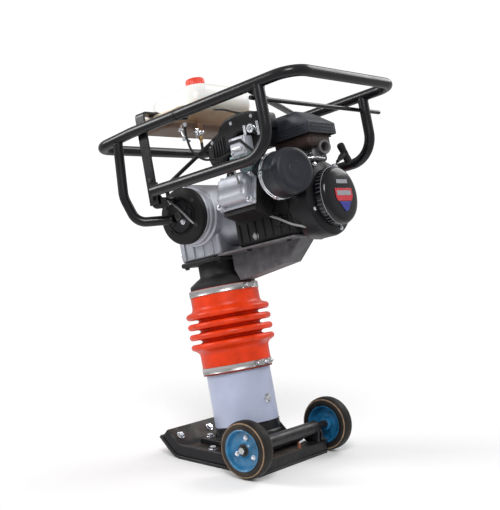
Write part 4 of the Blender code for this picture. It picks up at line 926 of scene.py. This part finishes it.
def make_carburettor():
    block("carburettor_body", (-0.312, 0.158, 0.752), (-0.262, 0.192, 0.800), ALU, "power_head",
          ["carburettor"], round_by=0.005)
    bm = bmesh.new()
    add_box(bm, (-0.330, 0.150, 0.744), (-0.252, 0.1885, 0.757), WORLD, 0.003, 3)
    finish_piece("carburettor_flange", bm, TEAL, "power_head")
    lathe("float_bowl", [(0, -0.030), (0.0080, -0.030), (0.0180, -0.026), (0.0205, -0.018), (0.0212, -0.002),
                         (0.0235, 0.000), (0.0235, 0.0040), (0, 0.0040)], TEAL, "power_head",
          at=shift(-0.290, 0.172, 0.742), steps=48)
    prism("carburettor_diagonal", [(-0.334, 0.757), (-0.300, 0.792), (-0.258, 0.792), (-0.258, 0.786),
                                   (-0.297, 0.786), (-0.328, 0.752)], 0, 0.004, ENGINE_BLACK, "power_head",
          at=shift(0, 0.196, 0) @ PLANE_US, bevel=0.001)
    lathe("choke_ring", [(0.0045, -0.004), (0.0100, -0.004), (0.0112, -0.002), (0.0112, 0.0040),
                         (0.0098, 0.0056), (0.0062, 0.0056), (0.0050, 0.0036), (0.0045, 0.0036)], CHROME,
          "power_head", at=shift(-0.322, 0.172, 0.8125) @ Z_TO_Y, steps=40, closed=True)
    bm = bmesh.new()
    add_pipe(bm, rounded([(-0.322, 0.166, 0.8125), (-0.322, 0.160, 0.8125), (-0.318, 0.148, 0.806)], [0.004]),
             0.0060, 14)
    add_pipe(bm, [(-0.306, 0.176, 0.8005), (-0.306, 0.176, 0.8235)], 0.0042, 14)
    add_pipe(bm, [(-0.338, 0.166, 0.792), (-0.338, 0.166, 0.8270)], 0.0034, 14)
    finish_piece("carburettor_stubs", bm, CHROME, "power_head")
    bolts("carburettor_screws", [((u, 0.192, s), (0, 1, 0)) for u in (-0.306, -0.268)
                                 for s in (0.762, 0.794)], "power_head", 0.0034)
    bolts("bowl_screw", [((-0.290, 0.172, 0.713), (0, 0, -1))], "power_head", 0.0052)
    bm = bmesh.new()
    add_box(bm, (-0.300, 0.193, 0.765), (-0.270, 0.1955, 0.774), WORLD, 0.001, 2)
    add_pipe(bm, [(-0.2640, 0.1730, 0.7730), (-0.254, 0.1730, 0.7708)], 0.0044, 12)
    finish_piece("throttle_arm", bm, CHROME, "power_head")


def make_intake_cover():
    """The black arched cover over the carburettor, its slots on the forward lobe drawn as bars of painted
    shade.
    """
    outer = [(-0.160, 0.758), (-0.153, 0.778), (-0.158, 0.800), (-0.174, 0.818), (-0.194, 0.830),
             (-0.205, 0.848), (-0.226, 0.862), (-0.262, 0.8670), (-0.300, 0.8640), (-0.332, 0.8550)]
    inner = [(-0.334, 0.812), (-0.300, 0.820), (-0.262, 0.816), (-0.240, 0.802), (-0.228, 0.786),
             (-0.216, 0.768), (-0.204, 0.757)]
    bm = bmesh.new()
    add_prism(bm, outer + inner, -0.150, -0.072, PLANE_US)
    finish_piece("intake_arch", bm, ENGINE_BLACK, "power_head", ["intake_cover"],
                 bevel=0.006, segments=4)
    back = [(-0.232, 0.770), (-0.226, 0.800), (-0.236, 0.830), (-0.262, 0.842), (-0.325, 0.840),
            (-0.325, 0.770)]
    bm = bmesh.new()
    add_prism(bm, back, -0.112, -0.078, PLANE_US)
    finish_piece("intake_back", bm, ENGINE_BLACK, "power_head", bevel=0.004)
    # Painted shade: thin dark bars stand in for the shade inside the slots.
    bm = bmesh.new()
    for step in range(6):
        u = -0.174 - 0.0085 * step
        top = 0.806 + 0.0030 * step
        add_box(bm, (u - 0.0017, 0.1490, 0.772), (u + 0.0017, 0.1515, min(top, 0.822)), WORLD, 0.0006, 1)
    finish_piece("intake_slot_shade", bm, SHADE_AND_CAP_BLACK, "power_head")
    bm = bmesh.new()
    for step in range(5):
        u = -0.1775 - 0.0085 * step
        add_box(bm, (u - 0.0018, 0.1485, 0.770), (u + 0.0018, 0.1530, 0.806 + 0.0030 * step), WORLD, 0.0008,
                2)
    finish_piece("intake_ribs", bm, ENGINE_BLACK, "power_head")
    bolts("intake_screws", [((-0.246, 0.150, 0.847), (0, 1, 0)), ((-0.176, 0.150, 0.815), (0, 1, 0)),
                            ((-0.312, 0.150, 0.848), (0, 1, 0))], "power_head", 0.0036)


def make_exhaust():
    bm = bmesh.new()
    add_box(bm, (-0.404, -0.044, 0.752), (-0.290, 0.052, 0.808), WORLD, 0.013, 5)
    finish_piece("muffler_box", bm, MUFFLER, "power_head", ["muffler"])
    bm = bmesh.new()
    add_box(bm, (-0.4055, -0.0455, 0.7785), (-0.2885, 0.0535, 0.7815), WORLD, 0.0010, 2)
    finish_piece("muffler_seam", bm, MUFFLER, "power_head")
    low, high = 0.7840, 0.8480
    bm = bmesh.new()
    ring = [(-0.416, -0.054), (-0.278, -0.054), (-0.278, 0.064), (-0.416, 0.064)]
    levels = []
    for height, near, far in ((low, 0.0, 0.0), (0.8120, 0.0, 0.0), (0.8390, 0.009, 0.030),
                              (high, 0.016, 0.042)):
        levels.append([bm.verts.new((u + (far if u < -0.35 else -near), y + (far if y < 0 else -near),
                                     height)) for u, y in ring])
    for first, second in zip(levels, levels[1:]):
        for index in range(4):
            bm.faces.new((first[index - 1], first[index], second[index], second[index - 1]))
    bm.faces.new(levels[-1])
    hood = finish_piece("muffler_guard", bm, HOOD, "power_head", ["muffler_hood"])
    wall = hood.modifiers.new("Wall", "SOLIDIFY")
    wall.thickness = 0.0022
    wall.offset = -1
    edge = hood.modifiers.new("Edges", "BEVEL")
    edge.width = 0.0022
    edge.segments = 3
    edge.limit_method = "ANGLE"
    edge.angle_limit = math.radians(20)
    # Painted shade: dark discs on the hood stand in for the shade inside its perforations.
    bm = bmesh.new()
    for row in range(3):
        for column in range(13):
            u = -0.400 + 0.0088 * column + (0.0044 if row % 2 else 0)
            for y, direction in ((0.0641, 1), (-0.0541, -1)):
                add_lathe(bm, [(0, 0.0002), (0.0026, 0.0002), (0.0026, -0.0010), (0, -0.0010)],
                          facing((u, y, 0.790 + 0.0082 * row), (0, direction, 0)), 6)
        for column in range(12):
            y = -0.046 + 0.0090 * column + (0.0045 if row % 2 else 0)
            add_lathe(bm, [(0, 0.0002), (0.0026, 0.0002), (0.0026, -0.0010), (0, -0.0010)],
                      facing((-0.4161, y, 0.790 + 0.0082 * row), (-1, 0, 0)), 6)
    finish_piece("guard_perforation_shade", bm, SHADE_AND_CAP_BLACK, "power_head")
    bolts("guard_bolts", [((-0.345, 0.030, high), (0, 0, 1)), ((-0.345, -0.008, high), (0, 0, 1)),
                          ((-0.290, 0.064, 0.803), (0, 1, 0))], "power_head",
          0.0048)
    # Exhaust outlet: a grey cast elbow, with a dark disc of painted shade in its mouth at the rear
    lathe("exhaust_mouth", [(0.0100, -0.010), (0.0175, -0.010), (0.0190, 0.000), (0.0190, 0.016),
                            (0.0175, 0.019), (0.0125, 0.019), (0.0112, 0.015), (0.0100, 0.000)], OUTLET,
          "power_head", at=facing((-0.392, -0.008, 0.7525), (-0.80, 0.30, -0.10)), steps=48,
          closed=True)
    lathe("exhaust_mouth_shade", [(0, 0.004), (0.0112, 0.004), (0.0112, 0.001), (0, 0.001)], SHADE_AND_CAP_BLACK, "power_head",
          at=facing((-0.392, -0.008, 0.7525), (-0.80, 0.30, -0.10)), steps=32)
    bm = bmesh.new()
    add_box(bm, (-0.392, -0.034, 0.7180), (-0.330, 0.026, 0.7560), WORLD, 0.009, 4)
    finish_piece("exhaust_elbow", bm, OUTLET, "power_head")

    bm = bmesh.new()
    pivot = shift(-0.352, 0.028, 0.7200)
    add_lathe(bm, [(0, 0.000), (0.0040, 0.000), (0.0040, 0.0200), (0.0052, 0.0205), (0.0052, 0.0232),
                   (0, 0.0240)], pivot, 20)
    add_prism(bm, [(0.004, -0.003)] + arc((-0.030, 0), (0.0036, 0.0036), -90, -270, 8) + [(0.004, 0.003)],
              0.0180, 0.0205, pivot)
    finish_piece("choke_arm", bm, CHROME, "choke", ["choke_lever"], bevel=0.0004)
    lathe("choke_knob", [(0, 0.0190), (0.0042, 0.0190), (0.0056, 0.0225), (0.0050, 0.0275), (0, 0.0290)],
          RUBBER, "choke", at=pivot @ shift(-0.0285, 0, 0), steps=24)
    bm = bmesh.new()
    add_lathe(bm, [(0, -0.006), (0.0088, -0.006), (0.0080, -0.0006), (0, -0.0006)], pivot, 24)
    finish_piece("choke_boss", bm, ALU, "power_head")
    bm = bmesh.new()
    add_pipe(bm, rounded([(-0.362, 0.068, 0.7130), (-0.378, 0.060, 0.7260), (-0.402, 0.040, 0.7240),
                          (-0.410, 0.012, 0.7190)], [0.010, 0.012]), 0.0026, 12)
    add_pipe(bm, [(-0.352, 0.076, 0.7060), (-0.352, 0.076, 0.7310)], 0.0038, 14)
    finish_piece("governor_link", bm, CHROME, "power_head")
    bolts("link_screws", [((-0.352, 0.076, 0.7310), (0, 0, 1)), ((-0.400, 0.046, 0.7060), (-1, 0.2, 0.6))],
          "power_head", 0.0050)


def make_leads():
    lead = rounded([(-0.250, 0.150, 0.760), (-0.246, 0.178, 0.750), (-0.262, 0.188, 0.722),
                    (-0.262, 0.180, 0.690), (-0.235, 0.160, 0.672)], [0.014, 0.018, 0.018])
    pipe("plug_lead", lead, 0.0026, PALE, "power_head", sides=14)
    hose = rounded([(-0.262, 0.096, 0.610), (-0.300, 0.098, 0.592), (-0.335, 0.094, 0.570),
                    (-0.360, 0.062, 0.556)], [0.03, 0.03])
    pipe("breather_hose", hose, 0.0028, PALE, "power_head", sides=14)
    brace = rounded([(-0.175, 0.100, 0.8460), (0.050, 0.100, 0.7575), (0.052, 0.100, 0.7080)], [0.014])
    pipe("intake_brace", brace, 0.0055, ENGINE_BLACK, "power_head", sides=18)
    stay = [(-0.176, 0.118, 0.905), (-0.215, 0.128, 0.893), (-0.255, 0.134, 0.874), (-0.282, 0.136, 0.8625)]
    wire = pipe("tank_breather", rounded(stay, [0.03, 0.03]), 0.0026, RUBBER, None, sides=12)
    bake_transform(wire)


# ---------------------------------------------------------------- handle frame

def rail_height(u):
    return 0.8925 + (0.8982 - 0.8925) * (0.022 - u) / (0.022 + 0.512)


def add_weld(bm, at, direction, radius, bead=0.0012):
    """A rippled bead round the foot of a tube."""
    seat = facing(at, direction)
    points = []
    for step in range(40):
        angle = 2 * math.pi * step / 40
        points.append(seat @ Vector((radius * math.cos(angle), radius * math.sin(angle),
                                     0.0006 * math.sin(14 * angle))))
    add_pipe(bm, points, bead, 8, True)


def make_handle():
    loop = rounded(LOOP, (0.055, 0.150, 0.045, 0.045, 0.150, 0.055), True, 12)
    pipe("top_loop", loop, TUBE, BLACK_TUBE, "handle", ["handle_loop"], sides=32, closed=True)
    welds = bmesh.new()
    for side, name in ((1, "left"), (-1, "right")):
        y = side * RAIL_Y
        route = [(-0.408, y, rail_height(-0.408) - 0.004), (-0.408, y, 0.727), (-0.018, y, 0.727)]
        pipe(name + "_rail", rounded(route, [0.070], steps=14), TUBE, BLACK_TUBE, "handle",
             [name + "_side_rail"], sides=32)
        add_weld(welds, (-0.408, y, rail_height(-0.408) - 0.0135), (0, 0, 1), TUBE - 0.0002)
        lathe(name + "_rail_cap", [(0, 0.0022), (0.0105, 0.0022), (0.0125, 0.0012), (0.0132, 0), (0, 0)],
              SHADE_AND_CAP_BLACK, "handle", at=facing((-0.0188, y, 0.727), (1, 0, 0)), steps=40)
        add_mount_frame(name, side, welds)
    finish_piece("frame_welds", welds, BLACK_TUBE, "handle", angle=60)
    rod_u = -0.408 + TUBE + 0.0058
    bm = bmesh.new()
    add_pipe(bm, [(rod_u, RAIL_Y + 0.013, 0.865), (rod_u, RAIL_Y + 0.012, 0.865), (rod_u, -0.333, 0.865),
                  (rod_u, -0.335, 0.865)], 0.0055, 20)
    finish_piece("long_rod", bm, BLACK_TUBE, "handle", ["cross_rod"], bevel=0.0006)
    pipe("stay", [(-0.374, RAIL_Y - 0.010, rail_height(-0.408) - 0.008),
                  (-0.205, -RAIL_Y + 0.004, rail_height(-0.205) - 0.004)], 0.008, BLACK_TUBE, "handle",
         ["diagonal_stay"], sides=24)


def add_mount_frame(name, side, welds):
    """Front tube, tank strap and bracket of one side."""
    y = side * RAIL_Y
    route = [(0.078, y, 0.8800), (0.090, y, 0.735), (0.080, side * 0.205, 0.665), (0.012, side * 0.142,
            0.657)]
    pipe(name + "_front_tube", rounded(route, [0.075, 0.040], steps=12), TUBE - 0.001, BLACK_TUBE, "handle",
         [name + "_mount_frame"], sides=32)
    add_weld(welds, (0.0785, y, 0.8755), (0, 0, 1), TUBE - 0.0010)
    outer, inner = 0.2125, 0.2065
    top = 0.941
    line = [(outer, 0.695)] + arc((outer - 0.012, top - 0.012), (0.012, 0.012), 0, 90, 8) + [(0.128, top)]
    line += [(0.128, top - 0.006)] + arc((inner - 0.006, top - 0.012), (0.006, 0.006), 90, 0,
                                         6) + [(inner, 0.695)]
    prism(name + "_strap", [(side * a, b) for a, b in line], -0.0155, 0.0155, BLACK_TUBE, "handle",
          at=PLANE_YS, bevel=0.0009)
    bolts(name + "_strap_bolts", [((0, side * 0.146, top), (0, 0, 1))], "handle", 0.0062, look=RUST)
    bolts(name + "_strap_side_bolts", [((0, side * outer, 0.760), (0, side, 0)), ((0, side * outer, 0.712),
            (0, side, 0))], "handle", 0.0066, look=SOLE_PAINT)
    face = 0.1349
    foot = arc((MOUNT_U, MOUNT_S), (0.040, 0.040), -200, 20, 24) + [(0.024, 0.712), (-0.024, 0.712)]
    bm = bmesh.new()
    add_prism(bm, foot, -side * (face + 0.006), -side * face, PLANE_US)
    add_box(bm, (-0.026, min(side * face, side * 0.2060), 0.700), (0.0155, max(side * face, side * 0.2060),
            0.710), WORLD, 0.001, 2)
    gusset = [(0.0155, 0.752), (-0.0155, 0.752)] + arc((-0.0520, 0.7300), (0.0365, 0.0330), 0, -70, 8)
    gusset += [(-0.047, 0.684), (-0.020, 0.682)] + arc((-0.0045, 0.7040), (0.0200, 0.0200), -80, 0, 6)
    add_prism(bm, gusset, -side * 0.2063, -side * 0.2010, PLANE_US)
    finish_piece(name + "_mount_plate", bm, BLACK_TUBE, "handle", bevel=0.0010)
    hub = face + 0.006
    bolts(name + "_hub_bolts", [((MOUNT_U, side * hub, MOUNT_S), (0, side, 0))], "handle", 0.0110,
          look=SOLE_PAINT)
    bolts(name + "_plate_bolts", [((-0.024, side * hub, 0.6440), (0, side, 0)), ((0.014, side * hub, 0.7030),
            (0, side, 0))], "handle", 0.0062)
    bolts(name + "_inner_bolts", [((0.012, side * hub, 0.646), (0, side, 0)), ((-0.040, side * hub, 0.676),
            (0, side, 0))], "handle", 0.0056, look=SOLE_PAINT)
    pin = side * (hub + 0.0085)
    pipe(name + "_mount_pin", [(-0.004, pin, 0.6995), (-0.067, pin, 0.6300)], 0.0026, BAND, "handle",
         sides=12)


# ---------------------------------------------------------------- tank and controls

def make_tank():
    """A lofted blow moulding: each level is a rounded rectangle (height, u range, half width, corner)."""
    levels = [(0.8930, -0.032, 0.038, 0.150, 0.016, 0), (0.8942, -0.040, 0.045, 0.158, 0.020, 0),
              (0.8985, -0.050, 0.0515, 0.1630, 0.024, 0), (0.9050, -0.060, 0.0555, 0.1650, 0.026, 0),
              (0.9052, -0.0625, 0.0575, 0.1650, 0.026, 0), (0.9075, -0.0665, 0.0575, 0.1650, 0.026, 0),
              (0.9080, -0.0660, 0.0565, 0.1645, 0.026, 0), (0.9200, -0.0885, 0.0570, 0.1650, 0.026, 0),
              (0.9310, -0.1085, 0.0580, 0.1650, 0.026, 0), (0.9338, -0.1140, 0.0575, 0.1635, 0.026, 0),
              (0.9346, -0.1150, 0.0560, 0.1600, 0.026, 0), (0.9348, -0.1160, 0.0550, 0.1300, 0.030, 0),
              (0.9370, -0.1200, 0.0545, 0.1250, 0.034, 0), (0.9480, -0.1290, 0.0540, 0.1225, 0.038, 0),
              (0.9620, -0.1300, 0.0530, 0.1220, 0.040, 0), (0.9750, -0.1298, 0.0518, 0.1210, 0.042, 0),
              (0.9850, -0.1280, 0.0480, 0.1180, 0.044, -0.02), (0.9925, -0.1215, 0.0390, 0.1110, 0.046,
            -0.035), (0.9970, -0.1090, 0.0250, 0.0990, 0.046, -0.05), (0.9988, -0.0900, 0.0080, 0.0800, 0.040,
            -0.05)]
    bm = bmesh.new()
    rings = []
    for height, back, front, half, corner, slope in levels:
        ring = []
        for centre_u, centre_y, start in ((front - corner, half - corner, 0), (back + corner, half - corner,
                90), (back + corner, -half + corner, 180), (front - corner, -half + corner, 270)):
            for u, y in arc((centre_u, centre_y), (corner, corner), start, start + 90, 8):
                ring.append(bm.verts.new((u, y, height + slope * (u + 0.036))))
        rings.append(ring)
    for low, high in zip(rings, rings[1:]):
        for index in range(len(low)):
            bm.faces.new((low[index - 1], low[index], high[index], high[index - 1]))
    bm.faces.new(rings[0])
    bm.faces.new(rings[-1])
    add_lathe(bm, [(0, 0.980), (0.0200, 0.980), (0.0200, 1.0145), (0, 1.0145)], shift(-0.030, 0, 0), 48)
    add_lathe(bm, [(0, 0.877), (0.0080, 0.877), (0.0090, 0.880), (0.0090, 0.900), (0, 0.900)],
              shift(-0.066, 0.060, 0), 32)
    finish_piece("tank", bm, TANK, "handle", ["fuel_tank"], angle=40)
    bm = bmesh.new()
    for y in (-0.085, 0.085):
        add_box(bm, (-0.095, y - 0.006, 0.9985 - 0.004), (0.010, y + 0.006, 0.9995 - 0.001), WORLD, 0.0018, 3)
    finish_piece("tank_ridges", bm, TANK, "handle")

    height = 0.026
    low = 1.0148
    lathe("cap", [(0, low), (0.0276, low), (0.0285, low + 0.0012), (0.0285, low + 0.0050),
                  (0.0265, low + 0.0062), (0.0262, low + 0.0075), (0.0255, low + height - 0.0045),
                  (0.0238, low + height - 0.0012), (0.0215, low + height), (0.0120, low + height),
                  (0.0110, low + height - 0.0012), (0, low + height - 0.0012)], RED_CAP, "cap",
          ["fuel_cap"], at=shift(-0.030, 0, 0), steps=144, ripple=lambda a, r, h: 0.0007 * math.cos(24 * a)
          if low + 0.006 < h < low + 0.024 and r > 0.022 else 0, angle=40)

    bm = bmesh.new()
    add_lathe(bm, [(0, 0), (0.0058, 0), (0.0060, 0.001), (0.0060, 0.009), (0.0050, 0.0100), (0, 0.0100)],
              shift(-0.066, 0.0695, 0.884) @ Z_TO_Y, 28)
    add_box(bm, (-0.0690, 0.0725, 0.860), (-0.0630, 0.0785, 0.886), WORLD, 0.0015, 3)
    finish_piece("tap_lever", bm, CHROME, "fuel_tap", ["fuel_tap_lever"])
    bm = bmesh.new()
    add_lathe(bm, [(0, 0), (0.0080, 0), (0.0080, 0.008), (0.0062, 0.010), (0.0062, 0.020), (0.0040, 0.022),
                   (0.0040, 0.034), (0, 0.034)], facing((-0.066, 0.060, 0.878), (0, 0, -1)), 6)
    finish_piece("tap_body", bm, BRASS, "handle", angle=25)
    bolts("tap_nut", [((-0.066, 0.060, 0.8770), (0, 0, -1))], "handle", 0.0100)
    route = [(-0.066, 0.060, 0.848), (-0.070, 0.066, 0.815), (-0.118, 0.092, 0.800), (-0.190, 0.118, 0.752),
             (-0.262, 0.160, 0.760)]
    hose = pipe("fuel_hose", rounded(route, [0.03, 0.03, 0.03], steps=10), 0.0040, RUBBER, None,
                sides=14)
    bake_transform(hose)


def make_throttle():
    bm = bmesh.new()
    add_box(bm, (-0.1475, 0.1900, 0.8830), (-0.1345, 0.2125, 0.8990), WORLD, 0.004, 4)
    add_prism(bm, [(-0.1500, 0.8985), (-0.1470, 0.9015), (-0.1360, 0.9015), (-0.1330, 0.8960),
                   (-0.1345, 0.8880), (-0.1475, 0.8880)], -0.2000, -0.1915, PLANE_US)
    finish_piece("throttle_paddle", bm, ENGINE_BLACK, "throttle", ["throttle_lever"],
                 bevel=0.0008)
    lathe("throttle_clamp", [(0.0139, 0.0050), (0.0142, 0.0050), (0.0144, 0.0042), (0.0144, -0.0042),
                             (0.0142, -0.0050), (0.0139, -0.0050)], ENGINE_BLACK, "handle",
          at=facing((-0.141, RAIL_Y, rail_height(-0.141)), (1, 0, -0.0107)), steps=48, closed=True)
    route = [(-0.141, 0.2015, 0.8755), (-0.136, 0.1985, 0.842), (-0.140, 0.193, 0.800),
             (-0.168, 0.183, 0.772), (-0.215, 0.174, 0.764), (-0.2605, 0.173, 0.772)]
    cable = pipe("throttle_cable_sheath", rounded(route, [0.04, 0.05, 0.04, 0.04], steps=10), 0.0030, RUBBER,
                 None, ["throttle_cable"], sides=14)
    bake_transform(cable)
    lathe("cable_ferrule", [(0, 0.0000), (0.0044, 0.0000), (0.0044, 0.0080), (0.0036, 0.0100), (0, 0.0100)],
          CHROME, "handle", at=facing((-0.1408, 0.2013, 0.8752), (0.02, -0.12, -0.9)), steps=20)
    bm = bmesh.new()
    for at, direction, reach in (((-0.088, 0.160, 0.872), (-0.2, 0.3, 0.9), 0.0070),
                                 ((-0.104, 0.168, 0.846), (0.1, 0.8, 0.4), 0.0060)):
        add_bolt(bm, at, direction, reach)
    add_pipe(bm, rounded([(-0.074, 0.130, 0.9080), (-0.088, 0.160, 0.876), (-0.104, 0.168, 0.846),
                          (-0.128, 0.178, 0.832)], [0.012, 0.012]), 0.0028, 12)
    finish_piece("tank_link", bm, CHROME, "handle", angle=30)


# ---------------------------------------------------------------- stage

def make_stage():
    """A pale floor that fades out well behind the machine, a white surround and three soft lights."""
    bm = bmesh.new()
    bmesh.ops.create_circle(bm, cap_ends=True, segments=96, radius=6)
    mesh = bpy.data.meshes.new("floor")
    bm.to_mesh(mesh)
    bm.free()
    look = bpy.data.materials.new("pale_floor")
    look.use_nodes = True
    nodes, links = look.node_tree.nodes, look.node_tree.links
    shader = nodes["Principled BSDF"]
    shader.inputs["Base Color"].default_value = (0.96, 0.96, 0.96, 1)
    shader.inputs["Roughness"].default_value = 0.8
    shader.inputs["Specular IOR Level"].default_value = 0.1
    length = nodes.new("ShaderNodeVectorMath")
    length.operation = "LENGTH"
    links.new(nodes.new("ShaderNodeTexCoord").outputs["Object"], length.inputs[0])
    fade = nodes.new("ShaderNodeMapRange")
    fade.interpolation_type = "SMOOTHSTEP"
    for key, value in (("From Min", 0.45), ("From Max", 1.5), ("To Min", 0.0), ("To Max", 1.0)):
        fade.inputs[key].default_value = value
    links.new(length.outputs["Value"], fade.inputs["Value"])
    clear = nodes.new("ShaderNodeBsdfTransparent")
    blend = nodes.new("ShaderNodeMixShader")
    links.new(fade.outputs["Result"], blend.inputs["Fac"])
    links.new(shader.outputs["BSDF"], blend.inputs[1])
    links.new(clear.outputs["BSDF"], blend.inputs[2])
    links.new(blend.outputs["Shader"], nodes["Material Output"].inputs["Surface"])
    mesh.materials.append(look)
    floor = bpy.data.objects.new("floor", mesh)
    floor.location.z = -0.0002
    bpy.context.scene.collection.objects.link(floor)

    world = bpy.data.worlds.new("studio")
    bpy.context.scene.world = world
    world.use_nodes = True
    nodes, links = world.node_tree.nodes, world.node_tree.links
    background = nodes["Background"]
    background.inputs["Color"].default_value = (1.0, 1.0, 1.0, 1)
    seen = nodes.new("ShaderNodeMapRange")
    seen.inputs["To Min"].default_value = 0.5
    seen.inputs["To Max"].default_value = 1.05
    links.new(nodes.new("ShaderNodeLightPath").outputs["Is Camera Ray"], seen.inputs["Value"])
    links.new(seen.outputs["Result"], background.inputs["Strength"])

    target = Vector((0.1, 0, 0.5))
    for name, at, power, size in (("key", (-1.9, 2.4, 3.0), 75, 1.3), ("front", (2.4, 1.9, 1.9), 45, 1.2),
                                  ("back", (-0.8, -2.6, 2.6), 40, 1.8)):
        data = bpy.data.lights.new(name, "AREA")
        data.energy = power
        data.size = size
        light = bpy.data.objects.new(name, data)
        light.location = at
        light.rotation_euler = (target - Vector(at)).to_track_quat("-Z", "Y").to_euler()
        bpy.context.scene.collection.objects.link(light)

    camera_data = bpy.data.cameras.new("camera")
    camera_data.lens = 69.4
    camera = bpy.data.objects.new("camera", camera_data)
    camera.location = (-1.623, 2.046, 0.7175)
    camera.rotation_euler = Vector((0.6228, -0.7794, -0.0668)).to_track_quat("-Z", "Y").to_euler()
    bpy.context.scene.collection.objects.link(camera)
    bpy.context.scene.camera = camera
    bpy.context.scene.view_settings.view_transform = "Standard"


def main():
    make_shoe()
    make_leg()
    make_bellows()
    make_clamp("lower_clamp", 0.2449, "foot", (170, 190))
    make_clamp("upper_clamp", 0.4542, "power_head", (176,))
    make_springs()
    make_wheels()
    make_axle()
    make_case()
    make_gear_train()
    make_engine()
    make_starter()
    make_filter()
    make_carburettor()
    make_intake_cover()
    make_exhaust()
    make_leads()
    make_handle()
    make_tank()
    make_throttle()
    make_stage()


main()
